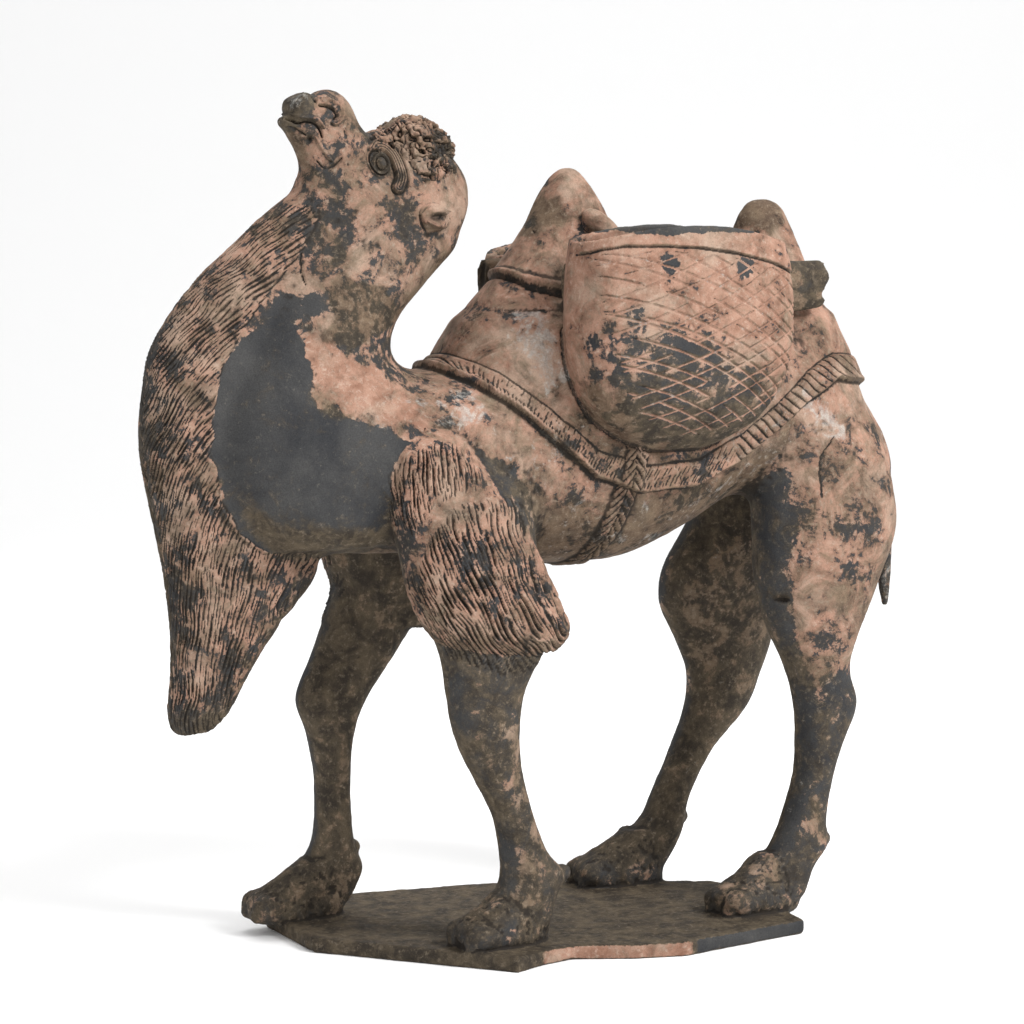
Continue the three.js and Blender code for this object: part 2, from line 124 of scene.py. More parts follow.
FAR_HINDLEG = [
    (262, 118, 148, 10, 26), (240, 106, 168, 20, 29), (214, 105, 172, 25, 33),
    (190, 104, 172, 25, 37), (166, 90, 163, 21, 40), (148, 88, 155, 18, 42),
    (128, 98, 153, 15, 43), (110, 105, 146, 13.5, 43), (92, 103, 137, 13, 43),
    (72, 95, 117.5, 11, 43), (50, 84.5, 104, 10.5, 43), (38, 78, 101, 11.5, 43),
    (28, 66, 98, 12, 43), (12, 58, 88, 12, 43),
]
NEAR_TUFT = [
    (247, -92, -70, 5, 42), (235, -105, -61, 12, 44), (213, -105, -46, 17, 46),
    (190, -102, -34, 19, 49), (170, -97, -26, 20, 51), (154, -88, -20, 19, 52),
    (145, -76, -25, 14, 52),
]
FAR_TUFT = [
    (247, -95, -77, 5, 42), (235, -104, -66, 12, 44), (213, -103, -54, 17, 46),
    (190, -97, -44, 19, 49), (170, -90, -36, 20, 51), (154, -84, -30, 19, 52),
    (145, -78, -36, 14, 52),
]
# Humps under their covers: z, front x, rear x, half width
FRONT_HUMP = [
    (254, -68, 70, 52), (276, -56, 58, 45), (297, -43, 47, 34), (318, -24, 40, 24),
    (336, -10.5, 31.5, 17), (351, -3, 23, 12), (360, 3, 16.5, 8), (364, 7, 13, 4),
]
REAR_HUMP = [
    (254, 74, 168, 48), (280, 86, 158, 37), (302, 95, 147, 28), (322, 101, 139, 20),
    (336, 105, 133.5, 14), (346, 110, 129, 9), (350, 114.5, 123, 4),
]
PAD = [
    (0, 262, 284, 30), (14, 252, 300, 44), (36, 250, 304, 47), (78, 250, 304, 47),
    (100, 252, 298, 42), (112, 262, 284, 28),
]
# Pannier basket: the rim from above, x and distance from the middle, then how it shrinks downwards
BASKET_PLAN = [
    (-13, 38), (-20, 56), (-12, 75), (12, 84), (45, 86), (76, 83), (90, 75), (88, 57), (86, 38),
]
BASKET_LEVELS = [
    (235, 0.3, 0.42), (240, 0.52, 0.58), (250, 0.76, 0.78), (264, 0.91, 0.92),
    (280, 0.99, 1), (300, 1, 1), (318, 0.98, 0.96), (331, 0.94, 0.9),
]
BASKET_MIDDLE = 38
BASKET_INSIDE = 38
BASKET_WALL = 5
BASKET_FLOOR = 264
RIM_ARCH = {"rise": 7.8, "middle": -5, "half": 52, "start": 290, "run": 40}
# side, how far back and down that side's basket sits, front end of its board
LOADS = [(NEAR, 0, 0, -8), (FAR, 15, 9, -14)]
BOARD = {"rear": 132, "z": 308, "out": 36, "half_height": 11, "half_width": 6}
SLAB_CORNERS = [
    (-124, 3), (-58, -78), (-40, -71), (-23, -67), (4, -80), (28, -86), (101, -72), (115, 9),
    (108, 26), (84, 39), (52, 66), (-68, 85), (-122, 63),
]
SLAB_THICKNESS = 7
# Feet: middle of the pad x y, turn of the toes in degrees
FEET = [(-48, -47, 8), (-109.5, 49, -4), (94, -42, 8), (66, 43, -4)]
FOOT = [
    (0, -24, 21, 13, 0), (5, -26, 22, 15, 0), (12, -25, 22, 14, 0), (20, -11, 21, 11.5, 0),
    (28, 1, 19, 9, 0),
]
SUNK = 1
# Knobs behind the fetlocks: rear of the leg, distance from the middle, height
KNOBS = [(-18, -47, 37), (-81, 50, 38), (130.5, -42, 38), (99, 42, 38)]
# Side outline of the saddle cloth, x z, and the width of its border
CLOTH_OUTLINE = [
    (-84, 300), (-79, 281), (-64, 271), (-44, 258), (-24, 240), (-4, 223), (22, 215), (52, 217),
    (74, 227), (95, 240), (116, 255), (136, 263), (154, 261), (180, 254), (190, 300),
]
BORDER_WIDTH = 12


def spline(rows, steps):
    """Rows on a smooth line through the given rows."""
    rows = np.array(rows, float)
    made = []
    for i in range(len(rows) - 1):
        a, b, c = rows[max(i - 1, 0)], rows[i], rows[i + 1]
        d = rows[min(i + 2, len(rows) - 1)]
        for t in np.arange(steps) / steps:
            bend = 2 * a - 5 * b + 4 * c - d
            twist = 3 * b - a - 3 * c + d
            made.append(0.5 * (2 * b + (c - a) * t + bend * t**2 + twist * t**3))
    made.append(rows[-1])
    return np.array(made)


def skin(rows):
    """A closed surface over rows of points, as points and triangles turned outwards."""
    count, sides, _ = rows.shape
    points = np.vstack([rows.reshape(-1, 3), rows[0].mean(0), rows[-1].mean(0)])
    r, s = np.meshgrid(np.arange(count - 1), np.arange(sides), indexing="ij")
    nxt = (s + 1) % sides
    a, b = r * sides + s, r * sides + nxt
    c, d = b + sides, a + sides
    walls = np.vstack([np.stack([a, b, c], -1).reshape(-1, 3), np.stack([a, c, d], -1).reshape(-1, 3)])
    s = np.arange(sides)
    nxt = (s + 1) % sides
    first = np.full(sides, count * sides)
    last = (count - 1) * sides
    ends = np.vstack([np.stack([first, nxt, s], -1), np.stack([first + 1, last + s, last + nxt], -1)])
    faces = np.vstack([walls, ends])
    p = points[faces]
    volume = np.einsum("ij,ij->i", p[:, 0], np.cross(p[:, 1], p[:, 2])).sum()
    return points, faces if volume > 0 else faces[:, ::-1]


def rounded(value, fullness):
    return np.sign(value) * np.abs(value) ** (2 / fullness)


def loft(sections, sides=48, steps=6, fullness=2.2):
    """A body whose sections are rounded rings: edge x z, other edge x z, half width, middle y."""
    table = [tuple(row) + (0,) * (6 - len(row)) for row in sections]
    ax, az, bx, bz, half, y = spline(table, steps).T[:, :, None]
    angle = 2 * np.pi * np.arange(sides) / sides
    along = 0.5 * rounded(np.cos(angle), fullness)
    out = rounded(np.sin(angle), fullness)
    x = (ax + bx) / 2 + (ax - bx) * along
    z = (az + bz) / 2 + (az - bz) * along
    return skin(np.stack([x, y + half * out, z], -1))


def limb(rows, side):
    return [(front, z, rear, z, half, side * (out[0] if out else 0)) for z, front, rear, half, *out in rows]


def barrel(rows):
    return [(x, low, x, high, half, 0) for x, low, high, half in rows]


def lump(at, radii, tilt=0, turn=0):
    """A rounded lump, tipped in the side view and turned in the top view by degrees."""
    up = np.linspace(-np.pi / 2, np.pi / 2, 15)[1:-1, None]
    around = np.linspace(0, 2 * np.pi, 24, endpoint=False)[None, :]
    height = np.sin(up) + 0 * around
    points = np.stack([np.cos(up) * np.cos(around), np.cos(up) * np.sin(around), height], -1)
    points = points * np.array(radii)
    a, b = math.radians(tilt), math.radians(turn)
    tip = np.array([[math.cos(a), 0, math.sin(a)], [0, 1, 0], [-math.sin(a), 0, math.cos(a)]])
    spin = np.array([[math.cos(b), -math.sin(b), 0], [math.sin(b), math.cos(b), 0], [0, 0, 1]])
    return skin(points @ tip.T @ spin.T + np.array(at))


def basket(side, back, down):
    """A basket as one closed wall: up its outside, over the rim and down to the floor inside."""
    corners = spline(BASKET_PLAN, 6)
    inner = corners[-1] + (corners[0] - corners[-1]) * np.linspace(0, 1, 9)[1:-1, None]
    plan = np.vstack([corners, inner])
    levels = spline(BASKET_LEVELS, 4)
    hollow = [row for row in levels[::-1] if row[0] >= BASKET_FLOOR]
    straight = np.arange(len(plan)) >= len(corners)
    rows = []
    stack = [(level, 0.0) for level in levels] + [(level, -BASKET_WALL) for level in hollow]
    for (z, long, bulge), grow in stack:
        x = (plan[:, 0] - BASKET_MIDDLE) * long
        out = (plan[:, 1] - BASKET_INSIDE) * bulge
        reach = np.hypot(x, out)
        share = (reach + grow) / reach
        height = max(0.0, (z - RIM_ARCH["start"]) / RIM_ARCH["run"])
        arch = RIM_ARCH["rise"] * height * (1 - ((x - RIM_ARCH["middle"]) / RIM_ARCH["half"]) ** 2)
        inside = np.where(straight | (out <= 0), -grow, np.maximum(out * share, -grow))
        rows.append(np.stack([
            BASKET_MIDDLE + back + x * share,
            side * (BASKET_INSIDE + inside),
            z + arch - down,
        ], -1))
    return skin(np.array(rows))


def board(side, front):
    rear, z, out = BOARD["rear"], BOARD["z"], side * BOARD["out"]
    tall, wide = BOARD["half_height"], BOARD["half_width"]
    return loft([
        (front, z + 6, front, z + 13, 2, out),
        (front + 9, z - tall, front + 9, z + tall + 3, wide, out),
        (rear - 12, z - tall, rear - 12, z + tall + 2, wide, out),
        (rear - 5, z - 4, rear - 5, z + tall + 2, wide, out),
        (rear + 1, z + 2, rear + 1, z + tall - 3, 4, out),
    ], fullness=3, steps=4)


def slab():
    """The slab under the feet, with edges that wander as broken clay does."""
    corners = np.array(SLAB_CORNERS, float)
    ring = []
    for a, b in zip(corners, np.roll(corners, -1, axis=0)):
        ring += [a + (b - a) * t for t in np.linspace(0, 1, 10)[:-1]]
    ring = np.array(ring)
    middle = ring.mean(0)
    rows = []
    for z, grow in ((0, -1.2), (1.2, -0.2), (SLAB_THICKNESS - 0.8, -0.2), (SLAB_THICKNESS, -0.9)):
        away = ring - middle
        share = 1 + grow / np.linalg.norm(away, axis=1, keepdims=True)
        rows.append(np.column_stack([middle + away * share, np.full(len(ring), z)]))
    return skin(np.array(rows))


def foot(x, y, turn):
    """The pad of a foot and its two toes."""
    a = math.radians(turn)
    spin = np.array([[math.cos(a), -math.sin(a), 0], [math.sin(a), math.cos(a), 0], [0, 0, 1]])
    solids = [loft(limb(FOOT, NEAR), steps=4)]
    for side in (NEAR, FAR):
        solids.append(lump((-17, side * 7.5, 7.2), (10, 7.2, 7), 8, side * -6))
        solids.append(lump((-24, side * 7, 4.2), (3.4, 4, 3.6), 0))
    solids.append(lump((19, 0, 21), (5, 7, 6), 30))
    moved = []
    for points, faces in solids:
        points = points @ spin.T + np.array([x, y, SLAB_THICKNESS - SUNK])
        points[:, 2] = np.maximum(points[:, 2], 1.5)
        moved.append((points, faces))
    return moved


def joined(solids):
    """Several solids as one set of points and triangles."""
    points, faces, start = [], [], 0
    for p, f in solids:
        points.append(p)
        faces.append(f + start)
        start += len(p)
    return np.vstack(points), np.vstack(faces)


def mesh_of(name, points, faces):
    mesh = bpy.data.meshes.new(name)
    mesh.vertices.add(len(points))
    mesh.vertices.foreach_set("co", np.ascontiguousarray(points, np.float32).ravel())
    mesh.loops.add(len(faces) * 3)
    mesh.loops.foreach_set("vertex_index", np.ascontiguousarray(faces, np.int32).ravel())
    mesh.polygons.add(len(faces))
    mesh.polygons.foreach_set("loop_start", np.arange(0, len(faces) * 3, 3, dtype=np.int32))
    mesh.update(calc_edges=True)
    return mesh


def arrays_of(mesh):
    """Points and triangles of a mesh, its quads cut in two."""
    points = np.zeros(len(mesh.vertices) * 3, np.float32)
    mesh.vertices.foreach_get("co", points)
    mesh.calc_loop_triangles()
    faces = np.zeros(len(mesh.loop_triangles) * 3, np.int32)
    mesh.loop_triangles.foreach_get("vertices", faces)
    return points.reshape(-1, 3).astype(float), faces.reshape(-1, 3).astype(np.int64)


def fused(solids, voxel):
    """The solids melted together into one skin."""
    item = bpy.data.objects.new("fusing", mesh_of("fusing", *joined(solids)))
    bpy.context.scene.collection.objects.link(item)
    remesh = item.modifiers.new("fuse", "REMESH")
    remesh.mode = "VOXEL"
    remesh.voxel_size = voxel
    graph = bpy.context.evaluated_depsgraph_get()
    points, faces = arrays_of(item.evaluated_get(graph).to_mesh())
    bpy.data.objects.remove(item)
    return points, faces


def edges_of(faces):
    pairs = np.vstack([faces[:, [0, 1]], faces[:, [1, 2]], faces[:, [2, 0]]])
    pairs.sort(axis=1)
    keys = np.unique(pairs[:, 0] * (1 << 32) + pairs[:, 1])
    return np.stack([keys >> 32, keys & 0xFFFFFFFF], -1)


def around(values, edges, degree):
    """The mean of each point's neighbours."""
    columns = values if values.ndim == 2 else values[:, None]
    sums = np.empty_like(columns)
    count = len(columns)
    for k in range(columns.shape[1]):
        column = columns[:, k]
        sums[:, k] = np.bincount(edges[:, 0], column[edges[:, 1]], count)
        sums[:, k] += np.bincount(edges[:, 1], column[edges[:, 0]], count)
    sums /= degree[:, None]
    return sums if values.ndim == 2 else sums[:, 0]


def degrees(edges, count):
    return np.maximum(np.bincount(edges.ravel(), minlength=count), 1).astype(float)


def normals_of(points, faces):
    p = points[faces]
    cross = np.cross(p[:, 1] - p[:, 0], p[:, 2] - p[:, 0])
    out = np.zeros_like(points)
    for k in range(3):
        for corner in range(3):
            out[:, k] += np.bincount(faces[:, corner], cross[:, k], len(points))
    return out / np.maximum(np.linalg.norm(out, axis=1, keepdims=True), 1e-9)


def fill_creases(points, faces, rounds, rate=0.5, convex=0.05):
    """Rounds the inner corners between forms, as wet clay is smoothed over, and hardly touches the rest."""
    edges = edges_of(faces)
    degree = degrees(edges, len(points))
    for turn in range(rounds):
        if turn % 4 == 0:
            out = normals_of(points, faces)
        shift = around(points, edges, degree) - points
        hollow = (shift * out).sum(1) > 0
        points = points + shift * np.where(hollow, rate, convex)[:, None]
    return points


def refined(points, faces, chosen, carried):
    """Cuts the chosen triangles in four, and their neighbours to fit. Carried values are blended."""
    pairs = np.vstack([faces[:, [0, 1]], faces[:, [1, 2]], faces[:, [2, 0]]])
    pairs.sort(axis=1)
    keys, where = np.unique(pairs[:, 0] * (1 << 32) + pairs[:, 1], return_inverse=True)
    count = len(faces)
    where = where.reshape(3, count).T
    marked = np.zeros(len(keys), bool)
    marked[where[chosen].ravel()] = True
    middle = np.full(len(keys), -1)
    middle[marked] = len(points) + np.arange(marked.sum())
    ends = np.stack([keys >> 32, keys & 0xFFFFFFFF], -1)[marked]
    new_points = np.vstack([points, points[ends].mean(1)])
    new_carried = [np.concatenate([c, c[ends].mean(1)]) for c in carried]
    cut = marked[where]
    number = cut.sum(1)
    made = [faces[number == 0]]
    for turn in range(3):
        order = [turn, (turn + 1) % 3, (turn + 2) % 3]
        f, m, c = faces[:, order], middle[where[:, order]], cut[:, order]
        one = (number == 1) & c[:, 0]
        made.append(np.stack([f[one, 0], m[one, 0], f[one, 2]], -1))
        made.append(np.stack([m[one, 0], f[one, 1], f[one, 2]], -1))
        two = (number == 2) & c[:, 0] & c[:, 1]
        made.append(np.stack([m[two, 0], f[two, 1], m[two, 1]], -1))
        made.append(np.stack([f[two, 0], m[two, 0], m[two, 1]], -1))
        made.append(np.stack([f[two, 0], m[two, 1], f[two, 2]], -1))
    full = number == 3
    f, m = faces[full], middle[where[full]]
    made.append(m)
    for k in range(3):
        made.append(np.stack([f[:, k], m[:, k], m[:, (k + 2) % 3]], -1))
    return new_points, np.vstack(made), new_carried


def noise(points, size, seed):
    """Smooth noise from -1 to 1 with lumps of that size."""
    p = points / size + seed * 7.13
    cell = np.floor(p).astype(np.int64)
    f = p - cell
    f = f * f * f * (f * (f * 6 - 15) + 10)
    total = np.zeros(len(points))
    for corner in range(8):
        step = np.array([corner & 1, corner >> 1 & 1, corner >> 2 & 1])
        c = cell + step
        h = c[:, 0] * 73856093 ^ c[:, 1] * 19349663 ^ c[:, 2] * 83492791 ^ (seed * 2654435761 % 4294967296)
        h = (h ^ h >> 15) * 2246822519 & 0xFFFFFFFF
        h = (h ^ h >> 13) * 3266489917 & 0xFFFFFFFF
        value = (h >> 8 & 0xFFFF) / 32767.5 - 1
        weight = np.prod(np.where(step, f, 1 - f), axis=1)
        total += weight * value
    return total


def rough(points, size, octaves, seed):
    """Noise at several sizes at once, the finer the weaker."""
    total, weight, share = 0, 0, 1.0
    for k in range(octaves):
        total = total + share * noise(points, size / 2**k, seed + k)
        weight += share
        share *= 0.55
    return total / weight


def step(value, low, high):
    """0 below low, 1 above high and smooth between; low may be the larger."""
    t = np.clip((value - low) / (high - low), 0, 1)
    return t * t * (3 - 2 * t)


def to_line(points, line):
    """Distance to a line of x z corners in the side view, and how far along it, from 0 to 1."""
    line = np.array(line, float)
    p = points[:, [0, 2]] if points.shape[1] == 3 else points
    lengths = np.linalg.norm(np.diff(line, axis=0), axis=1)
    before = np.concatenate([[0], np.cumsum(lengths)])
    best, place = np.full(len(p), 1e9), np.zeros(len(p))
    for a, b, long, start in zip(line[:-1], line[1:], lengths, before):
        t = np.clip(((p - a) @ (b - a)) / long**2, 0, 1)
        d = np.linalg.norm(p - (a + t[:, None] * (b - a)), axis=1)
        closer = d < best
        best[closer], place[closer] = d[closer], (start + t[closer] * long) / before[-1]
    return best, place


def inside(points, outline):
    """Signed distance to an outline in the side view, positive inside it."""
    line = np.array(outline, float)
    closed = np.vstack([line, line[:1]])
    p = points[:, [0, 2]] if points.shape[1] == 3 else points
    distance, _ = to_line(p, closed)
    odd = np.zeros(len(p), bool)
    for a, b in zip(closed[:-1], closed[1:]):
        spans = (a[1] > p[:, 1]) != (b[1] > p[:, 1])
        with np.errstate(divide="ignore", invalid="ignore"):
            crossing = (b[0] - a[0]) * (p[:, 1] - a[1]) / (b[1] - a[1]) + a[0]
        odd ^= spans & (p[:, 0] < crossing)
    return np.where(odd, distance, -distance)


def smooth_line(corners, steps=6):
    return spline(corners, steps)


def ridge(points, line, width, tapered=True):
    """1 on the line falling to 0 at that distance from it, thinning towards its ends."""
    distance, place = to_line(points, smooth_line(line))
    reach = width * (0.35 + 0.65 * np.sqrt(np.clip(4 * place * (1 - place), 0, 1))) if tapered else width
    return np.exp(-((distance / reach) ** 2) * 2.2)


def strokes(p, angle, wide, long, seed):
    """Tool strokes side by side, at an angle in degrees: 1 in a groove, below 0 on the clay beside it."""
    table = np.random.default_rng(seed).random((97, 89, 4))
    total, weight = np.zeros(len(p)), np.zeros(len(p))
    spacing = 10.0
    for k in range(int(angle.min() // spacing) - 1, int(angle.max() // spacing) + 3):
        share = step(np.abs(angle - k * spacing), spacing * 0.65, spacing * 0.35)
        near = share > 0
        if not near.any():
            continue
        a = math.radians(k * spacing)
        q = p[near]
        along = (q[:, 0] * math.cos(a) + q[:, 1] * math.sin(a)) / long
        across = (q[:, 1] * math.cos(a) - q[:, 0] * math.sin(a)) / wide
        row = np.floor(across).astype(int)
        along = along + table[row % 97, 0, 0]
        cell = np.floor(along).astype(int)
        place = along - cell
        offset, depth, reach, lean = table[row % 97, 1 + cell % 88].T
        aside = across - row - 0.5 - 0.35 * (offset - 0.5) - 0.4 * (lean - 0.5) * (place - 0.5)
        ends = step(place, 0, 0.12) * step(place, 0.6 + 0.4 * reach, 0.4 + 0.4 * reach)
        groove = np.exp(-((aside / 0.24) ** 2)) * (0.35 + 0.65 * depth)
        beside = np.exp(-(((np.abs(aside) - 0.42) / 0.13) ** 2)) * depth
        total[near] += share[near] * ends * (groove - 0.35 * beside)
        weight[near] += share[near]
    return total / np.maximum(weight, 1e-6)


# Places read off the figure's near side, x z
MANE_BACK = [
    (-127, 344), (-135, 329), (-152, 311), (-167, 293), (-176, 278), (-181, 258), (-182, 238),
    (-178, 217), (-168, 202), (-154, 192),
]
UPPER_TUFT = [
    (-112, 222), (-105, 229), (-101, 235), (-95, 238), (-84, 242), (-77, 241), (-73, 234),
    (-65, 228), (-67, 221), (-78, 220), (-89, 216), (-95, 211), (-100, 200), (-105, 208),
]
LOWER_TUFT = [
    (-98, 186), (-93, 201), (-88, 206), (-82, 213), (-74, 215), (-56, 216), (-46, 213), (-39, 198),
    (-31, 178), (-12, 150), (-20, 136), (-60, 138), (-100, 150), (-104, 170),
]
FORELOCK_EDGE = [
    (-98, 379), (-85, 384), (-77, 390), (-68, 388), (-60, 382), (-54, 373), (-58, 365), (-69, 361),
    (-76, 359), (-81, 363), (-83, 370), (-91, 375),
]
BROW = [(-99, 373.6), (-96, 375.6), (-92, 374.8), (-89.6, 371), (-88.6, 366), (-88.4, 361), (-90.4, 356.6)]
CHEEK_UNDER = [(-113, 332.1), (-106, 327.7), (-96.5, 326.1), (-90, 328.4), (-85, 333.1)]
CHEEK_LEFT = [(-115.5, 359.6), (-119.6, 354.6), (-121.5, 347), (-120, 339.6), (-116.3, 334.6)]
CHEEK_FOLD = [(-122.3, 338.4), (-118.7, 330.9), (-111.6, 325.9), (-103.8, 322.6), (-92, 322)]
EAR_TOP = [(-80, 344.4), (-78, 347.2), (-74.4, 348.6), (-69.9, 347.9), (-63.5, 345.5)]
EAR_LOBE = [(-76.6, 341.2), (-70.2, 339), (-65.4, 339.4), (-63.1, 341.7)]
EAR_LEFT = [(-80, 344.4), (-79.1, 340), (-76.9, 336.8)]
NOSE_RING = [
    (-124.5, 394.9), (-121.5, 396.6), (-117.3, 396), (-113.4, 393.7), (-111.6, 391), (-112.6, 387.6),
    (-115.5, 385.2), (-118, 386),
]
NOSE_PIT = [(-123.5, 393.8), (-119.3, 393.2), (-116.2, 391.4), (-115.2, 389), (-117, 387.4)]
MOUTH = [
    (-140, 388.6), (-135.4, 387.1), (-133.4, 385.8), (-130, 386.2), (-126.3, 385.4), (-123.8, 382.8),
    (-122.6, 379.2),
]
LIP_EDGE = [(-135, 389.9), (-131.2, 388.3), (-125, 387.6), (-121.6, 383.6)]
FOLDS = [
    [(-125.6, 379.6), (-122.3, 374), (-118.5, 368.6)],
    [(-124.5, 368.4), (-121.9, 365.2), (-118.2, 366.5), (-114.4, 369.9)],
    [(-137.2, 384), (-133.6, 382.6), (-129.6, 380)],
    [(-112, 382), (-110.5, 375), (-112, 367)],
]
RIM_LINE = [
    (-22, 324), (-16, 326.5), (-11, 328.5), (-2, 330), (14, 330), (34, 329), (55, 326), (73, 322),
    (90, 316),
]
WORN_CELLS = [
    (-4, 300), (12, 293), (32, 287), (55, 276), (77, 262), (92, 246), (77, 236), (46, 232), (21, 238),
    (0, 252), (-9, 268), (-12, 285),
]
FLAP_HEM = [(-40, 327), (-33, 323), (-27, 316), (-21, 311.5), (-12, 309), (6, 306), (30, 303), (60, 304)]
BARE_CHEST = [
    (-163, 293), (-175, 280), (-181, 263), (-182, 238), (-178, 217), (-168, 202), (-152, 190), (-136, 184),
    (-108, 184), (-101, 195), (-106, 212), (-108, 228), (-92, 240), (-104, 245), (-116, 251), (-128, 253),
    (-137, 257), (-142, 268), (-139, 287), (-143, 297), (-152, 299),
]
SALMON_BAND = [
    (-142, 291), (-129, 289), (-122, 283), (-109, 274), (-95, 264), (-84, 254), (-90, 246), (-100, 251),
    (-113, 255), (-126, 257), (-134, 262), (-139, 276),
]
OLIVE_PATCHES = [
    [(-124, 315), (-100, 315), (-91, 296), (-114, 285), (-129, 291)],
    [(-54, 226), (-36, 220), (-24, 203), (-44, 195), (-60, 209)],
    [(-12, 350), (0, 352), (2, 340), (-14, 334), (-20, 342)],
    [(95, 354), (123, 354), (127, 338), (115, 334), (105, 338)],
]
PALE_PATCHES = [
    [(112, 258), (131, 248), (137, 236), (112, 238)],
    [(-70, 263), (-58, 262), (-54, 250), (-68, 248)],
    [(-30, 300), (-38, 284), (-26, 262), (-14, 272), (-16, 300)],
]
DARK_SPOTS = [(-145, 303, 6), (-134, 304.5, 5), (-12, 340, 4), (58, 320, 5), (18, 322, 4)]
CRACKS = [
    ([(118, 207), (118.5, 214), (119, 221), (121, 228), (126, 233), (130, 237)], 0.6, 0.9),
    ([(-136, 327), (-137, 319), (-136, 313)], 0.5, 1.2),
    ([(-9, 348), (-11, 341), (-10, 334)], 0.5, 1.0),
]
HOLE = (100, 159)

# The forms, each with the name of its zone
core = [
    ("trunk", loft(barrel(TORSO), steps=5)),
    ("neck", loft(NECK)),
    ("mane", loft(MANE, fullness=2.3)),
    ("head", loft(HEAD)),
    ("head", lump((-100, -13, 344), (21, 12, 19), 20)),
    ("head", lump((-100, 13, 344), (21, 12, 19), 20)),
    ("foreleg", loft(limb(NEAR_FORELEG, NEAR))),
    ("foreleg", loft(limb(FAR_FORELEG, FAR))),
    ("hindleg", loft(limb(NEAR_HINDLEG, NEAR))),
    ("hindleg", loft(limb(FAR_HINDLEG, FAR))),
    ("hump", loft(limb(FRONT_HUMP, NEAR))),
    ("hump", loft(limb(REAR_HUMP, NEAR))),
    ("pad", loft(barrel(PAD), fullness=3)),
]
added = [
    ("tail", loft(TAIL)),
    ("near_tuft", loft(limb(NEAR_TUFT, NEAR))),
    ("far_tuft", loft(limb(FAR_TUFT, FAR))),
    ("near_basket", basket(*LOADS[0][:3])),
    ("far_basket", basket(*LOADS[1][:3])),
    ("board", board(LOADS[0][0], LOADS[0][3])),
    ("board", board(LOADS[1][0], LOADS[1][3])),
    ("slab", slab()),
    ("lip", loft([(-135.5, 396, -127, 400, 6), (-136, 392, -124, 398, 9), (-134.5, 388.5, -122, 392, 9),
                  (-130, 386, -120, 388, 8)], fullness=2.8)),
    ("lip", lump((-134, 0, 385), (6, 7, 3.5), 25)),
    ("forelock", lump((-70.5, 0, 376.5), (18, 17, 11.5), 16)),
    ("head", lump((-91, -1, 378), (6, 10, 5.2), 0)),
    ("hump", lump((19, -19, 335), (13, 7, 5), 47)),
    *[("foot", solid) for place in FEET for solid in foot(*place)],
    *[("foot", lump(place, (3.6, 5.5, 4.2), 30)) for place in KNOBS],
]
for side in (NEAR, FAR):
    added.append(("ear", lump((-71.5, side * 22.6, 343.2), (8.2, 5, 5.6), -8)))
    added.append(("eye", lump((-97.6, side * 19.2, 367.5), (4.2, 3.8, 4.8), 0)))

core_points, core_faces = fused([solid for _, solid in core], CORE_VOXEL)
core_points = fill_creases(core_points, core_faces, 26)
points, faces = fused([(core_points, core_faces)] + [solid for _, solid in added], VOXEL)
points = fill_creases(points, faces, 5 if FINE else 2, convex=0.12)

# The zone of each point is that of the nearest form
zones = sorted({name for name, _ in core + added})
all_points, all_faces = joined([solid for _, solid in core + added])
owner = np.concatenate([np.full(len(solid[1]), zones.index(name)) for name, solid in core + added])
forms = BVHTree.FromPolygons(all_points.tolist(), all_faces.tolist())
nearest = np.array([owner[forms.find_nearest(p)[2]] for p in points.tolist()])
edges = edges_of(faces)
degree = degrees(edges, len(points))
belongs = {}
for k, name in enumerate(zones):
    share = (nearest == k).astype(float)
    for _ in range(3):
        share = around(share, edges, degree)
    belongs[name] = share


def zone(*names):
    return sum(belongs[name] for name in names).clip(0, 1)


def cut_finer(chosen):
    """Splits the chosen triangles and carries the zones over."""
    global points, faces, belongs
    names = list(belongs)
    points, faces, carried = refined(points, faces, chosen, [belongs[n] for n in names])
    belongs = dict(zip(names, carried))


# Finer triangles where the near side and the face carry fine relief
if FINE:
    centre = points[faces].mean(1)
    detailed = zone("mane", "near_tuft", "near_basket", "forelock", "eye", "ear", "lip", "head")
    cut_finer((detailed[faces].max(1) > 0.5) & (centre[:, 1] < 4))
    centre = points[faces].mean(1)
    within = inside(points, CLOTH_OUTLINE)
    hem = np.minimum(np.abs(within), np.abs(within - 0.9 * BORDER_WIDTH)) < 4
    hem |= (points[:, 0] > 68) & (np.abs(within - BORDER_WIDTH / 2) < BORDER_WIDTH / 2)
    hem &= (points[:, 1] < -10) & (points[:, 2] < 296) & (zone("trunk", "pad", "hump", "hindleg") > 0.5)
    cut_finer(hem[faces].all(1) & (centre[:, 1] < -10))
    centre = points[faces].mean(1)
    near_face = (centre[:, 1] < -3) & (centre[:, 2] > 336) & (centre[:, 0] < -60)
    cut_finer(near_face & (zone("head", "eye", "ear", "lip", "forelock")[faces].max(1) > 0.5))
    edges = edges_of(faces)
    degree = degrees(edges, len(points))
    for _ in range(2):
        points = points + 0.5 * (around(points, edges, degree) - points)
out = normals_of(points, faces)
turned = np.abs(out[:, 1])
x, y, z = points.T
far = y > 0
# The side view unrolled round the front of the neck
flat = np.stack([x + 0.9 * np.abs(y) + np.where(far, 400, 0), z], -1)
lift = np.zeros(len(points))


def some(mask, *lines):
    """The points a mask reaches, near the given lines if there are any."""
    chosen = mask > 0.02
    if lines:
        corners = np.array([corner for line in lines for corner in line], float)
        low, high = corners.min(0) - 8, corners.max(0) + 8
        chosen &= (x > low[0]) & (x < high[0]) & (z > low[1]) & (z < high[1])
    return np.nonzero(chosen)[0]


def region(q, outline, wobble, size, seed, soft=1.0):
    """1 inside an outline in the side view, with a wandering edge."""
    return step(inside(q, outline) + wobble * rough(q, size, 3, seed), -soft, soft)


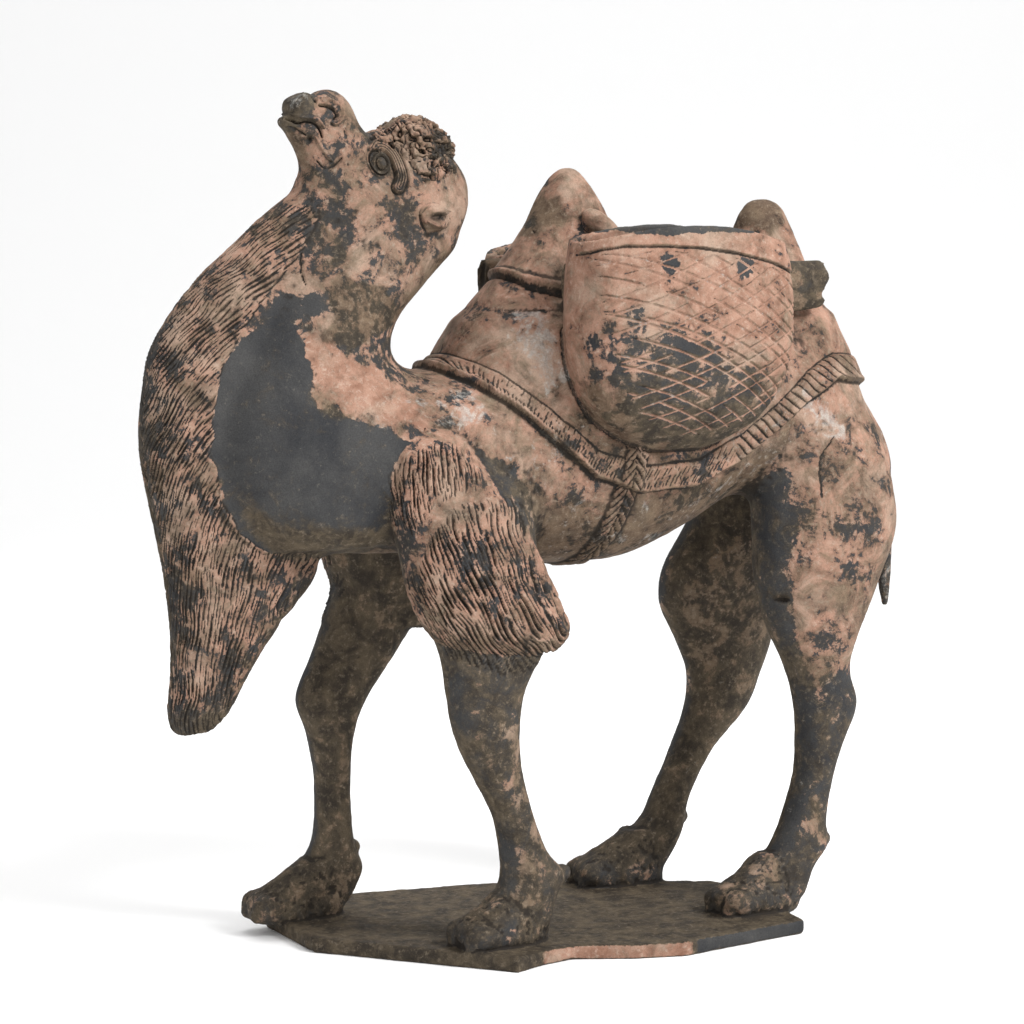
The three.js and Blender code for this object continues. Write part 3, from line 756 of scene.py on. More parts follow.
# Uneven hand-made surface all over, coarser on the feet
lift += 0.5 * rough(points, 20, 3, 3) + 0.14 * rough(points, 3.6, 2, 9)
lift += zone("foot") * (0.9 * rough(points, 7, 3, 15)) * step(z, 7, 10)

# Hair strokes of the mane, which turn from slanting at the throat to hanging at the bib
back_edge = np.interp(z, [p[1] for p in MANE_BACK[::-1]], [p[0] for p in MANE_BACK[::-1]])
back_edge = np.where(z < MANE_BACK[-1][1], -100, back_edge) + 1.2 * noise(points, 7, 30)
mane = zone("mane", "neck", "head") * step(back_edge - x, -1.2, 1.2) * step(z, 104, 110) * step(z, 352, 344)
front_edge = np.interp(-z, [-r[1] for r in MANE], [r[0] for r in MANE])
rear_edge = np.interp(-z, [-r[3] for r in MANE], [r[2] for r in MANE])
across = np.clip((x - front_edge) / np.maximum(rear_edge - front_edge, 1), 0, 1)
lean = np.interp(z, [110, 150, 190, 215, 240, 270, 300, 345], [86, 85, 80, 66, 55, 45, 37, 28])
lean = lean - across * np.interp(z, [110, 150, 190, 230, 345], [20, 26, 30, 16, 4])
i = some(mane)
q = points[i]
waved = flat[i] + 1.6 * np.stack([noise(q, 14, 21), noise(q, 14, 22)], -1)
coarse = strokes(waved, lean[i], 2.4, 21, 40)
fine = strokes(waved, lean[i] + 5, 1.5, 12, 60)
patchy = (0.8 + 0.8 * rough(q, 12, 2, 31)).clip(0.2, 1.2)
lift[i] -= mane[i] * patchy * (1.15 * coarse + 0.5 * fine)
rim_of_mane = np.exp(-(((x[i] - back_edge[i] + 1.2) / 2.2) ** 2)) * step(z[i], 190, 198)
lift[i] += mane[i] * 0.9 * rim_of_mane

# Deep strokes of the leg tufts, in an upper and a lower mass with a smooth band between
for name, shift in (("near_tuft", 0), ("far_tuft", 3)):
    side = FAR if name == "far_tuft" else NEAR
    tuft = zone(name, "foreleg", "trunk") * (far == (side == FAR)) * step(turned, 0.15, 0.4)
    tuft = np.maximum(tuft, belongs[name]) * step(out[:, 1] * side, -0.45, 0.0)
    i = some(tuft, UPPER_TUFT, LOWER_TUFT)
    q = points[i] + np.array([shift, 0, 0])
    in_upper, in_lower = inside(q, UPPER_TUFT), inside(q, LOWER_TUFT)
    upper, lower = step(in_upper, -1.5, 2.5), step(in_lower, -1.5, 2.5)
    hair = np.maximum(upper, lower)
    angle = np.where(in_upper > in_lower, 104, np.interp(q[:, 2], [150, 175, 205], [126, 120, 112]))
    angle = angle - np.interp(q[:, 0], [-100, -70, -30], [0, 2, 8])
    waved = flat[i] + 1.5 * np.stack([noise(q, 12, 71), noise(q, 12, 72)], -1)
    coarse = strokes(waved, angle, 2.7, 24, 80)
    fine = strokes(waved, angle + 6, 1.6, 13, 90)
    strands = (1.7 * coarse + 0.6 * fine) * (1 + 0.3 * noise(q, 9, 33))
    lift[i] += tuft[i] * hair * (0.9 - strands)

# Curly forelock, deeply pitted with a pointed tool
i = some(zone("forelock", "head"), FORELOCK_EDGE)
q = points[i]
curls = region(q, FORELOCK_EDGE, 1.5, 5, 50, 1.2)
curls *= np.maximum(belongs["forelock"][i], step(np.abs(y[i]), 26, 24))
worms = step(np.abs(noise(q, 2.5, 51)), 0.0, 0.4)
pits = step(noise(q, 2.8, 53), 0.1, 0.5)
lift[i] += curls * (1.3 * worms + 0.5 * noise(q, 1.5, 52) - 2.2 * pits + 0.5)
curled = np.zeros(len(points))
curled[i] = curls

# Face, the same on both sides
face = zone("head", "eye", "lip", "ear") * (1 - curled)
i = some(face)
q = points[i]
relief = np.zeros(len(i))
reach = np.hypot((q[:, 0] + 98.2 + 0.12 * (q[:, 2] - 367.6)) / 2.4, (q[:, 2] - 367.6) / 3.1)
relief += 1.2 * step(reach, 1.0, 0.2)
relief -= 1.3 * np.exp(-(((reach - 1.12) / 0.13) ** 2))
relief += 0.9 * np.exp(-(((reach - 1.42) / 0.16) ** 2))
relief -= 0.6 * np.exp(-(((reach - 1.72) / 0.13) ** 2))
relief += 0.4 * np.exp(-(((reach - 1.95) / 0.15) ** 2))
distance, place = to_line(q, smooth_line(BROW))
brow = step(distance, 3.0, 1.6) * step(reach, 1.6, 1.9)
relief += brow * (1.5 - 0.5 * (0.5 + 0.5 * np.cos(distance * 2 * np.pi / 1.25)))
relief -= 0.9 * np.exp(-(((distance - 3.2) / 0.7) ** 2)) * step(reach, 1.6, 1.9) * step(place, 0, 0.1)
for line, width, height in (
    (CHEEK_UNDER, 2.0, -1.5), (CHEEK_LEFT, 2.4, -1.0), (CHEEK_FOLD, 2.4, 0.8),
    (NOSE_RING, 1.3, 1.0), (NOSE_PIT, 1.4, -2.0), (MOUTH, 1.2, -2.2), (LIP_EDGE, 1.3, 0.8),
    (FOLDS[0], 1.4, 0.9), (FOLDS[1], 1.1, -1.1), (FOLDS[2], 1.0, -1.1), (FOLDS[3], 2.2, -0.5),
    (EAR_TOP, 1.1, 0.9), (EAR_LOBE, 1.4, 0.9), (EAR_LEFT, 1.3, -1.4),
):
    near = some(face, line)
    lift[near] += face[near] * step(turned[near], 0.2, 0.45) * height * ridge(points[near], line, width)
relief -= 2.0 * np.exp(-(((q[:, 0] + 127.8) ** 2 + (q[:, 2] - 378.1) ** 2) / 1.6))
relief -= 1.2 * ridge(q, [(-127, 401), (-125.6, 398), (-124.6, 395)], 1.2)
hollow = np.exp(-((((q[:, 0] + 71) / 5.8) ** 2 + ((q[:, 2] - 343) / 2.8) ** 2) ** 1.5))
relief -= 3.6 * hollow
lift[i] += face[i] * step(turned[i], 0.25, 0.5) * relief
# Painted shade: the ear's hollow, to be painted dark like a deep groove.
shaded = np.zeros(len(points))
shaded[i] = hollow * face[i]

# Saddle cloth with its raised border, over trunk and pads
covered = zone("trunk", "pad", "hump", "hindleg", "foreleg")
i = some(covered * step(z, 150, 165))
q = points[i]
cloth = inside(q, CLOTH_OUTLINE)
border = inside(q, [(a, b + BORDER_WIDTH) for a, b in CLOTH_OUTLINE])
below = step(q[:, 2], 300, 292)
wander = 0.5 * noise(q, 9, 61)
on_cloth = step(cloth + wander, -0.7, 0.9) * below
on_border = on_cloth * step(border + wander, 0.9, -0.5)
rungs = np.abs((q[:, 0] * 0.62 + q[:, 2] * 0.78 + 0.6 * noise(q, 8, 62)) % 4.2 - 2.1)
hatched = on_border * step(rungs, 0.7, 0.25) * step(q[:, 0], 70, 76)
scratched = strokes(q[:, [0, 2]], np.full(len(q), 60.0), 1.7, 9, 64)
lift[i] += covered[i] * (2.0 * on_cloth + 1.2 * on_border - 0.8 * hatched)
lift[i] -= covered[i] * 0.5 * on_border * scratched * step(q[:, 0], 78, 60)
lift[i] -= covered[i] * on_cloth * 0.5 * np.exp(-((border / 1.1) ** 2))
lift[i] += covered[i] * on_cloth * 0.7 * np.exp(-(((cloth - 1.4) / 1.1) ** 2))
folds = noise(np.stack([q[:, 0] - 0.3 * q[:, 2], q[:, 2] / 4, q[:, 1] / 3], -1), 7, 65)
lift[i] += covered[i] * on_cloth * (1 - on_border) * 0.7 * folds
# Braided girth strap
strap_at = q[:, 0] - (3.5 + (q[:, 2] - 170) * 14 / 66)
strap = step(np.abs(strap_at), 6.2, 5.0) * step(q[:, 2], 246, 242) * step(q[:, 2], 150, 170)
braid = np.abs((q[:, 2] * 0.8 + np.abs(strap_at) * 0.9) % 3.6 - 1.8)
plait = 1.6 - 1.0 * step(braid, 0.9, 0.3) - 0.8 * np.exp(-((strap_at / 0.6) ** 2))
lift[i] += zone("trunk", "pad")[i] * strap * plait
# Hem of the front hump's cover, rolled at its lower edge
above = q[:, 2] - np.interp(q[:, 0], [h[0] for h in FLAP_HEM], [h[1] for h in FLAP_HEM])
draped = belongs["hump"][i] * step(q[:, 0], 66, 60) * step(q[:, 0], -46, -40)
lift[i] += draped * (1.7 * step(above, -0.5, 0.8) + 1.3 * np.exp(-(((above - 1.8) / 1.7) ** 2)))
lift[i] -= draped * 1.1 * np.exp(-(((above + 1.9) / 1.5) ** 2))

# Baskets: a plain rim band over an incised diamond lattice
grooved = np.zeros(len(points))
for name, (side, back, down, _) in (("near_basket", LOADS[0]), ("far_basket", LOADS[1])):
    wall = belongs[name]
    i = some(wall)
    q = points[i] + np.array([-back, 0, down])
    drop = np.interp(q[:, 0], [r[0] for r in RIM_LINE], [r[1] for r in RIM_LINE]) - q[:, 2]
    outside = step(out[i, 1] * side, 0.05, 0.35)
    lines = np.zeros(len(i))
    draw = np.random.default_rng(5)
    for slope, bend, spacing, strength in ((-0.46, -0.0030, 6.4, 1.0), (0.42, 0.0012, 7.2, 0.7)):
        for k in range(-14, 17):
            tilt = slope + draw.uniform(-0.05, 0.05)
            start = 288 + k * spacing + draw.uniform(-1.1, 1.1)
            run = q[:, 0] - BASKET_MIDDLE
            away = np.abs(q[:, 2] - start - run * tilt - bend * run**2) / math.hypot(1, tilt)
            along = np.column_stack([q[:, 0], q[:, 2], np.full(len(i), k * 5.0)])
            cut = step(noise(along, 13, 100 + k), -0.6, -0.25)
            lines = np.maximum(lines, strength * cut * np.exp(-((away / 0.48) ** 2)))
    start_x = np.interp(q[:, 2], [250, 262, 283, 306, 328], [12, 1, -8, -12, -13])
    low_edge = np.interp(q[:, 0], [2, 34, 70, 90], [256, 242, 250, 262])
    latticed = outside * step(drop, 1.5, 3) * step(q[:, 0] - start_x, -2, 2)
    latticed = latticed * step(q[:, 2] - low_edge, -3, 0)
    lift[i] -= wall[i] * 0.75 * lines * latticed
    grooved[i] = lines * latticed
    lift[i] -= wall[i] * 0.9 * outside * np.exp(-((drop / 0.7) ** 2))
    lift[i] += wall[i] * outside * 0.6 * step(drop, 0.3, -0.5)

# Cracks, a small hole and knocks in the slab's edge
near_flank = (1.0 - far) * step(turned, 0.2, 0.4)
for line, width, depth in CRACKS:
    i = some(near_flank, line)
    lift[i] -= depth * ridge(points[i], line, width)
i = some(near_flank, [HOLE])
lift[i] -= 3.0 * np.exp(-(((x[i] - HOLE[0]) / 2.1) ** 2 + ((z[i] - HOLE[1]) / 1.3) ** 2))
rim_of_slab = zone("slab") * step(np.abs(out[:, 2]), 0.7, 0.4)
lift += rim_of_slab * (0.9 * rough(points, 9, 3, 44) - 0.3)
lift -= zone("slab") * step(out[:, 2], 0.7, 0.9) * 0.35 * rough(points, 3.6, 2, 9)

low, high = np.array(cad_box[0]) / MM, np.array(cad_box[1]) / MM
points = np.clip(points + out * lift[:, None], low, high)

# How far each point lies in a groove, from -1 on a ridge to 1 in a groove. The material darkens the grooves
# with painted shade and lightens the ridges with a painted highlight.
out = normals_of(points, faces)
cavity = np.zeros(len(points))
soft = points
for k in range(6):
    soft = around(soft, edges, degree)
    if k in (0, 5):
        cavity += ((soft - points) * out).sum(1) / (0.05 if k == 0 else 0.16)
cavity = np.clip(cavity * 0.5, -1, 1)
# The ear's hollow joins the grooves, so it gets painted shade too.
cavity = np.maximum(cavity, shaded)
cavity = np.where(belongs["slab"] > 0.5, np.clip(cavity, 0, 0.3), cavity)

# Where pigment, earth and slip have stayed on the clay, from 0 to 1. The second layer also carries painted
# shade on the undersides, the inner legs and the recess below the baskets.
pink = np.full(len(points), 0.5)
earth_and_shade = np.full(len(points), 0.35)
slip = np.full(len(points), 0.12)


def paint(layer, share, weight):
    layer += (share - layer) * np.clip(weight, 0, 1)


for name, shares in {
    "head": (0.54, 0.50, 0.16), "lip": (0.22, 0.55, 0.26), "eye": (0.40, 0.60, 0.16),
    "ear": (0.62, 0.45, 0.15), "forelock": (0.56, 0.52, 0.08), "mane": (0.56, 0.44, 0.12),
    "neck": (0.52, 0.46, 0.15), "trunk": (0.60, 0.47, 0.28), "foreleg": (0.36, 0.56, 0.12),
    "hindleg": (0.58, 0.49, 0.20),
    "near_tuft": (0.60, 0.42, 0.12), "far_tuft": (0.56, 0.44, 0.10), "hump": (0.66, 0.46, 0.16),
    "pad": (0.60, 0.52, 0.12), "near_basket": (0.70, 0.36, 0.14), "far_basket": (0.56, 0.44, 0.10),
    "board": (0.42, 0.66, 0.12), "slab": (0.12, 0.98, 0.10), "foot": (0.36, 0.58, 0.16),
    "tail": (0.50, 0.45, 0.30),
}.items():
    for layer, share in zip((pink, earth_and_shade, slip), shares):
        paint(layer, share, belongs[name] * 1.2)
body = zone("neck", "trunk", "foreleg", "mane", "head")
i = some(body, BARE_CHEST)
bare = body[i] * region(points[i], BARE_CHEST, 4, 12, 12, 2) * (1 - mane[i])
bare *= 1 - zone("near_tuft", "far_tuft")[i]
cavity[i] *= 1 - 0.8 * bare
for layer, share in ((pink, 0.06), (earth_and_shade, 0.22), (slip, 0.05)):
    layer[i] += (share - layer[i]) * bare
i = some(body, SALMON_BAND)
band = body[i] * region(points[i], SALMON_BAND, 4, 9, 13, 2) * (1 - mane[i])
pink[i] += (0.86 - pink[i]) * band
earth_and_shade[i] += (0.30 - earth_and_shade[i]) * band
for outline in OLIVE_PATCHES:
    i = some(zone("neck", "trunk", "hump", "head"), outline)
    stain = region(points[i], outline, 5, 10, 16, 2)
    earth_and_shade[i] += (0.86 - earth_and_shade[i]) * stain
for outline in PALE_PATCHES:
    i = some(zone("trunk", "hindleg", "pad", "hump"), outline)
    stain = region(points[i], outline, 5, 8, 17, 2)
    slip[i] += (0.44 - slip[i]) * stain
    earth_and_shade[i] += (0.30 - earth_and_shade[i]) * stain
for spot_x, spot_z, size in DARK_SPOTS:
    spot = np.exp(-(((x - spot_x) ** 2 + (z - spot_z) ** 2) / size**2) ** 2)
    paint(pink, 0.1, spot)
    paint(earth_and_shade, 0.2, spot)
# Worn lattice cells, whose cut lines kept their pigment
i = some(belongs["near_basket"], WORN_CELLS)
worn = belongs["near_basket"][i] * region(points[i], WORN_CELLS, 12, 9, 14, 7) * step(out[i, 1], 0, -0.3)
pink[i] += (0.36 - pink[i]) * worn * (1 - grooved[i])
lines = step(grooved, 0.25, 0.6)
paint(pink, 0.98, lines)
paint(slip, 0.32, lines)
paint(earth_and_shade, 0.25, lines)
cavity *= 1 - 0.7 * lines
# Dark slip left along the rims
rims = zone("near_basket", "far_basket") * step(z - 1.4 * rough(points, 8, 2, 18), 335, 337)
paint(pink, 0.1, rims)
# Lower legs turn grey in patches
shank = zone("foreleg", "hindleg", "foot") * step(z + 22 * rough(points, 26, 3, 19), 140, 90)
paint(pink, 0.40, shank)
# Bare clay on the front edges of the legs and at the bib's tip. The front edges are picked by facing
# forwards, away from the key light, so their grey is partly painted shade.
fronts = zone("foreleg", "hindleg") * step(-out[:, 0], 0.45, 0.8) * step(z, 12, 30)
paint(pink, 0.2, fronts * 0.8)
paint(earth_and_shade, 0.34, fronts * 0.8)
tip = zone("mane") * step(z + 3 * rough(points, 8, 2, 20), 122, 112)
paint(pink, 0.25, tip)
# The front of the mane, picked the same way, gets less pink: partly its own grey, partly painted shade.
front_of_mane = mane * step(-out[:, 0], 0.55, 0.9)
paint(pink, 0.36, front_of_mane * 0.9)
# Painted shade: dark brown and less pink on the undersides, the inner sides of the legs and the recess
# below the baskets, where shade falls
underside_shade = step(out[:, 2], -0.1, -0.7) * step(z, 20, 60)
paint(earth_and_shade, 0.85, underside_shade * 0.8)
inner = step(out[:, 1] * np.where(far, 1, -1), 0.2, -0.5) * step(z, 15, 30) * step(z, 250, 200)
paint(earth_and_shade, 0.92, inner * 0.85)
paint(pink, 0.34, inner * 0.6)
recess = zone("pad", "trunk") * step(z, 236, 262) * step(np.abs(x - 36), 60, 40)
paint(earth_and_shade, 0.80, recess * 0.7)
# Edge of the slab: black at the rear of the near edge, raw pink clay at the notch
slab_side = zone("slab") * step(np.abs(out[:, 2]), 0.75, 0.5)
for layer, share in ((pink, 0.0), (earth_and_shade, 0.1), (slip, 0.0)):
    paint(layer, share, slab_side * step(x, 30, 36))
broken = slab_side * step(x, -44, -38) * step(x, 34, 28) * (y < 0)
paint(pink, 0.95, broken)
paint(earth_and_shade, 0.3, broken)


def painted_clay():
    """Grey clay with worn salmon pigment, traces of slip and brown dirt, which also lays painted shade on
    the undersides and inner legs; painted shade darkens the grooves and a painted highlight lightens the
    ridges.
    """
    material = bpy.data.materials.new("painted_clay")
    material.use_nodes = True
    tree = material.node_tree
    tree.nodes.clear()

    def node(kind, **settings):
        made = tree.nodes.new(kind)
        for key, value in settings.items():
            setattr(made, key, value)
        return made

    def link(source, target):
        tree.links.new(source, target)

    def maths(operation, a, b):
        made = node("ShaderNodeMath", operation=operation)
        for socket, given in zip(made.inputs, (a, b)):
            if isinstance(given, (int, float)):
                socket.default_value = given
            else:
                link(given, socket)
        return made.outputs[0]

    def added_up(*pairs):
        """The sum of each output times its number."""
        total = None
        for output, number in pairs:
            part = maths("MULTIPLY", output, number)
            total = part if total is None else maths("ADD", total, part)
        return total

    def clouds(scale, detail, roughness=0.65, distortion=0.0):
        made = node("ShaderNodeTexNoise")
        given = {"Scale": scale, "Detail": detail, "Roughness": roughness, "Distortion": distortion}
        for key, number in given.items():
            made.inputs[key].default_value = number
        link(coordinates.outputs["Object"], made.inputs["Vector"])
        return made.outputs["Fac"]

    def ramp(factor, low_at, high_at, most=1.0):
        made = node("ShaderNodeMapRange", interpolation_type="SMOOTHSTEP")
        made.inputs["From Min"].default_value = low_at
        made.inputs["From Max"].default_value = high_at
        made.inputs["To Max"].default_value = most
        link(factor, made.inputs["Value"])
        return made.outputs["Result"]

    def mixed(factor, first, second):
        made = node("ShaderNodeMix", data_type="RGBA")
        link(factor, made.inputs["Factor"])
        for socket, given in ((made.inputs[6], first), (made.inputs[7], second)):
            if isinstance(given, tuple):
                socket.default_value = (*given, 1)
            else:
                link(given, socket)
        return made.outputs[2]

    coordinates = node("ShaderNodeTexCoord")
    shares = node("ShaderNodeSeparateColor")
    link(node("ShaderNodeAttribute", attribute_name="layers").outputs["Color"], shares.inputs[0])
    pink_share, earth_and_shade_share, slip_share = shares.outputs
    groove = node("ShaderNodeAttribute", attribute_name="groove").outputs["Fac"]

    broad = clouds(34, 6, 0.62, 0.4)
    patch = clouds(105, 8, 0.68, 0.3)
    speck = clouds(420, 7, 0.72)
    grain = clouds(1500, 4, 0.7)
    blot = clouds(60, 8, 0.7, 0.8)

    clay = mixed(ramp(broad, 0.3, 0.7), (0.033, 0.034, 0.037), (0.064, 0.063, 0.062))
    clay = mixed(ramp(speck, 0.56, 0.8), clay, (0.13, 0.12, 0.105))
    salmon = mixed(ramp(patch, 0.32, 0.66), (0.250, 0.128, 0.085), (0.41, 0.243, 0.175))
    salmon = mixed(ramp(broad, 0.48, 0.66, 0.65), salmon, (0.43, 0.325, 0.245))
    salmon = mixed(ramp(speck, 0.50, 0.74, 0.8), salmon, (0.55, 0.42, 0.335))
    salmon = mixed(ramp(grain, 0.52, 0.72, 0.6), salmon, (0.17, 0.11, 0.080))
    # Dark brown of real dirt, also used as painted shade on the undersides and inner legs
    soil_and_shade = mixed(ramp(patch, 0.35, 0.68), (0.038, 0.029, 0.020), (0.135, 0.103, 0.066))
    soil_and_shade = mixed(ramp(speck, 0.5, 0.78), soil_and_shade, (0.24, 0.19, 0.135))
    chalk = mixed(ramp(speck, 0.3, 0.7), (0.25, 0.25, 0.24), (0.50, 0.48, 0.44))

    # Grooves get a little less salmon, which adds to their painted shade.
    amount = maths("ADD", pink_share, added_up((broad, 0.9), (patch, 1.15), (speck, 0.55), (groove, -0.16)))
    colour = mixed(ramp(amount, 1.74, 1.84), clay, salmon)
    # The second layer brings that dark brown, partly real dirt and partly painted shade.
    soiled_and_shaded = maths("ADD", earth_and_shade_share, added_up((blot, 1.35), (speck, 0.5)))
    colour = mixed(ramp(soiled_and_shaded, 1.18, 1.62, 0.84), colour, soil_and_shade)
    chalky = maths("ADD", slip_share, added_up((clouds(88, 8, 0.72, 1.0), 1.2), (speck, 0.3)))
    colour = mixed(ramp(chalky, 1.10, 1.30, 0.62), colour, chalk)
    # Painted shade: the deeper the groove, the nearer to black.
    colour = mixed(ramp(groove, 0.12, 0.85, 0.82), colour, (0.020, 0.016, 0.013))
    # Painted highlight: ridges are lightened towards pale beige.
    colour = mixed(ramp(maths("MULTIPLY", groove, -1.0), 0.30, 1.0, 0.42), colour, (0.55, 0.46, 0.38))
    shade = mixed(ramp(grain, 0.25, 0.7), (0.66, 0.66, 0.66), (1.0, 1.0, 1.0))
    tint = node("ShaderNodeMix", data_type="RGBA", blend_type="MULTIPLY")
    tint.inputs["Factor"].default_value = 1.0
    link(colour, tint.inputs[6])
    link(shade, tint.inputs[7])

    shader = node("ShaderNodeBsdfPrincipled")
    shader.inputs["Metallic"].default_value = 0.0
    shader.inputs["Specular IOR Level"].default_value = 0.12
    link(tint.outputs[2], shader.inputs["Base Color"])
    dullness = node("ShaderNodeMapRange")
    dullness.inputs["To Min"].default_value = 0.60
    dullness.inputs["To Max"].default_value = 0.95
    link(patch, dullness.inputs["Value"])
    link(dullness.outputs["Result"], shader.inputs["Roughness"])
    bump = node("ShaderNodeBump")
    bump.inputs["Strength"].default_value = 0.6
    bump.inputs["Distance"].default_value = 0.0004
    flakes = ramp(amount, 1.74, 1.84)
    link(added_up((grain, 0.5), (speck, 0.9), (flakes, 0.4)), bump.inputs["Height"])
    link(bump.outputs["Normal"], shader.inputs["Normal"])
    output = node("ShaderNodeOutputMaterial")
    link(shader.outputs["BSDF"], output.inputs["Surface"])
    return material


def with_layers(mesh, layers, groove):
    """Stores the paint shares and groove depth of each point on a mesh."""
    colours = mesh.attributes.new("layers", "FLOAT_COLOR", "POINT")
    colours.data.foreach_set("color", np.ascontiguousarray(layers, np.float32).ravel())
    depths = mesh.attributes.new("groove", "FLOAT", "POINT")
    depths.data.foreach_set("value", np.ascontiguousarray(groove, np.float32))


# Fewer triangles where the skin is smooth
layers = np.column_stack([pink, earth_and_shade, slip, np.ones(len(points))]).clip(0, 1)
near_basket, far_basket = belongs["near_basket"], belongs["far_basket"]
if len(faces) > TRIANGLES:
    whole = mesh_of("whole", points, faces)
    with_layers(whole, layers, cavity)
    for name, values in (("near", near_basket), ("far", far_basket)):
        whole.attributes.new(name, "FLOAT", "POINT").data.foreach_set("value", values.astype(np.float32))
    item = bpy.data.objects.new("whole", whole)
    bpy.context.scene.collection.objects.link(item)
    thinner = item.modifiers.new("thinner", "DECIMATE")
    thinner.ratio = TRIANGLES / len(faces)
    thinned = item.evaluated_get(bpy.context.evaluated_depsgraph_get()).to_mesh()
    points, faces = arrays_of(thinned)
    points = np.clip(points, low, high)
    found = {}
    for name, key, width in (
        ("layers", "color", 4), ("groove", "value", 1), ("near", "value", 1), ("far", "value", 1),
    ):
        values = np.zeros(len(points) * width, np.float32)
        thinned.attributes[name].data.foreach_get(key, values)
        found[name] = values.reshape(-1, width)
    layers, cavity = found["layers"], found["groove"][:, 0]
    near_basket, far_basket = found["near"][:, 0], found["far"][:, 0]
    bpy.data.objects.remove(item)
out = normals_of(points, faces)
material = painted_clay()


def open_rings(part):
    """The rings of points round the openings of a part of the skin; none passes a point twice."""
    forward = np.vstack([part[:, [0, 1]], part[:, [1, 2]], part[:, [2, 0]]])
    keys, uses = np.unique(forward[:, 0] * (1 << 32) + forward[:, 1], return_counts=True)
    backward, others = np.unique(forward[:, 1] * (1 << 32) + forward[:, 0], return_counts=True)
    match = np.searchsorted(backward, keys).clip(max=len(backward) - 1)
    uses = uses - np.where(backward[match] == keys, others[match], 0)
    following = {}
    for key in np.repeat(keys, uses.clip(0)).tolist():
        following.setdefault(key >> 32, []).append(key & 0xFFFFFFFF)
    rings = []
    while following:
        here, path, step_of = next(iter(following)), [], {}
        while True:
            if here in step_of:
                ring, path = path[step_of[here]:], path[:step_of[here]]
                rings.append(ring)
                for point in ring:
                    del step_of[point]
            if here not in following:
                break
            step_of[here] = len(path)
            path.append(here)
            here = following[here].pop()
            if not following[path[-1]]:
                del following[path[-1]]
    return rings


def lid(ring):
    """Triangles that close a flat ring, turned outwards; none where it is bent, tiny or on a basket."""
    spread = points[ring] - points[ring].mean(0)
    across = np.linalg.svd(spread, full_matrices=False)[2][-1]
    on_basket = (near_basket + far_basket)[ring].max() > 0.1
    if on_basket or len(ring) < RING or np.abs(spread @ across).max() > FLATNESS:
        return np.zeros((0, 3), np.int64)
    made = np.array(tessellate_polygon([[Vector(p) for p in spread.tolist()]])).reshape(-1, 3)
    faced = np.cross(spread, np.roll(spread, -1, axis=0)).sum(0)
    p = spread[made]
    if (np.cross(p[:, 1] - p[:, 0], p[:, 2] - p[:, 0]) @ faced).sum() > 0:
        made = made[:, ::-1]
    return np.array(ring)[made]


def piece(name, chosen):
    """One piece of the figure: the chosen triangles, and lids on its flat cuts."""
    part = faces[chosen]
    part = np.vstack([part] + [lid(ring) for ring in open_rings(part)])
    # Two faces on the same three points would be a fold without thickness
    _, first, copies = np.unique(np.sort(part, axis=1), axis=0, return_index=True, return_counts=True)
    part = part[np.sort(first[copies == 1])]
    used, packed = np.unique(part, return_inverse=True)
    mesh = mesh_of(name, points[used] * MM, packed.reshape(-1, 3))
    mesh.validate()
    mesh.polygons.foreach_set("use_smooth", np.ones(len(mesh.polygons), bool))
    with_layers(mesh, layers[used], cavity[used])
    # One set of normals for the whole skin, so that no seam shows between the pieces
    mesh.normals_split_custom_set_from_vertices(out[used].tolist())
    mesh.materials.append(material)
    item = bpy.data.objects.new(name, mesh)
    bpy.context.scene.collection.objects.link(item)
    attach(item, "root")
    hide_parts("camel_figure")


# The skin in pieces: head, mane and neck, trunk, loads, legs
px, py, pz = points[faces].mean(1).T
kind = np.full(len(faces), 2)
before = px < -76 + np.clip(pz - 283, -100, 0) * 0.36 + np.clip(pz - 283, 0, 100) * 0.6
kind[(px > 40) & (pz > 168)] = 3
kind[before & (pz > 100)] = 1
kind[before & (pz > 333 + (px + 90) * 0.1)] = 0
kind[(px > -118) & (px < 20) & (pz < 168)] = 4
kind[(px < 20) & (pz < 100)] = 4
kind[(px > 20) & (pz < 168)] = 5
kind[(near_basket[faces].mean(1) > 0.5) & (py < -40)] = 6
kind[(far_basket[faces].mean(1) > 0.5) & (py > 40)] = 7
for number, name in enumerate((
    "camel_head", "camel_neck", "camel_trunk", "camel_rump", "camel_forelegs", "camel_hindlegs",
    "near_basket", "far_basket",
)):
    piece(name, kind == number)

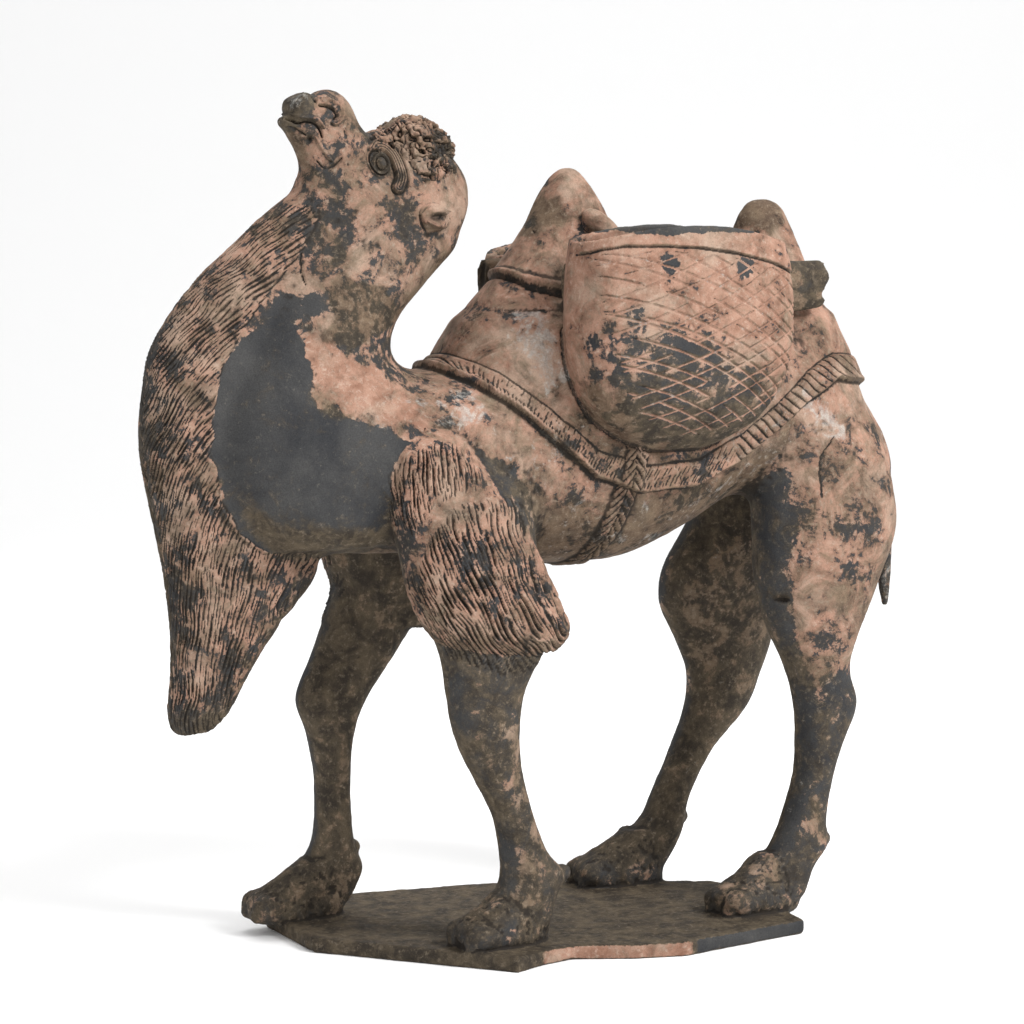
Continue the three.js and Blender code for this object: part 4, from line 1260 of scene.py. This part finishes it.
# Pale floor that bends up behind
floor_mesh = bpy.data.meshes.new("floor")
reach, rise, bend, start = 6.0, 3.0, 1.2, 1.6
profile = [(-reach, 0.0)] + [
    (start + bend * math.sin(a), bend - bend * math.cos(a)) for a in np.linspace(0, math.pi / 2, 13)
] + [(start + bend, rise)]
corners = [(w, y, h) for y, h in profile for w in (-reach, reach)]
quads = [(2 * k, 2 * k + 1, 2 * k + 3, 2 * k + 2) for k in range(len(profile) - 1)]
floor_mesh.from_pydata(corners, [], quads)
floor_mesh.polygons.foreach_set("use_smooth", [True] * len(quads))
floor = bpy.data.objects.new("floor", floor_mesh)
floor.rotation_euler[2] = -AZIMUTH
bpy.context.scene.collection.objects.link(floor)
paper = bpy.data.materials.new("paper")
paper.use_nodes = True
paper_shader = paper.node_tree.nodes["Principled BSDF"]
paper_shader.inputs["Base Color"].default_value = (0.97, 0.97, 0.97, 1)
paper_shader.inputs["Roughness"].default_value = 0.9
floor_mesh.materials.append(paper)

world = bpy.data.worlds.new("world")
bpy.context.scene.world = world
world.use_nodes = True
world.node_tree.nodes["Background"].inputs["Color"].default_value = (1, 1, 1, 1)
world.node_tree.nodes["Background"].inputs["Strength"].default_value = 0.6


def soft_light(name, place, size, power):
    lamp = bpy.data.lights.new(name, "AREA")
    lamp.energy = power
    lamp.size = size
    item = bpy.data.objects.new(name, lamp)
    item.location = place
    item.rotation_euler = (Vector((0, 0, 0.2)) - Vector(place)).to_track_quat("-Z", "Y").to_euler()
    bpy.context.scene.collection.objects.link(item)


soft_light("key", (0.75, -1.25, 1.45), 0.7, 44)
soft_light("fill", (-1.6, -0.9, 0.8), 1.2, 5)
soft_light("top", (0.1, 0.3, 1.9), 1.2, 16)

bpy.context.scene.view_settings.view_transform = "Standard"
camera_data = bpy.data.cameras.new("camera")
camera_data.lens = 118.5
camera_data.sensor_width = 36
camera_data.clip_start = 0.05
camera_data.clip_end = 50
camera = bpy.data.objects.new("camera", camera_data)
camera.location = (-0.7680, -1.4077, 0.3674)
look = Vector((math.sin(AZIMUTH) * math.cos(PITCH), math.cos(AZIMUTH) * math.cos(PITCH), -math.sin(PITCH)))
camera.rotation_euler = look.to_track_quat("-Z", "Y").to_euler()
bpy.context.scene.collection.objects.link(camera)
bpy.context.scene.camera = camera
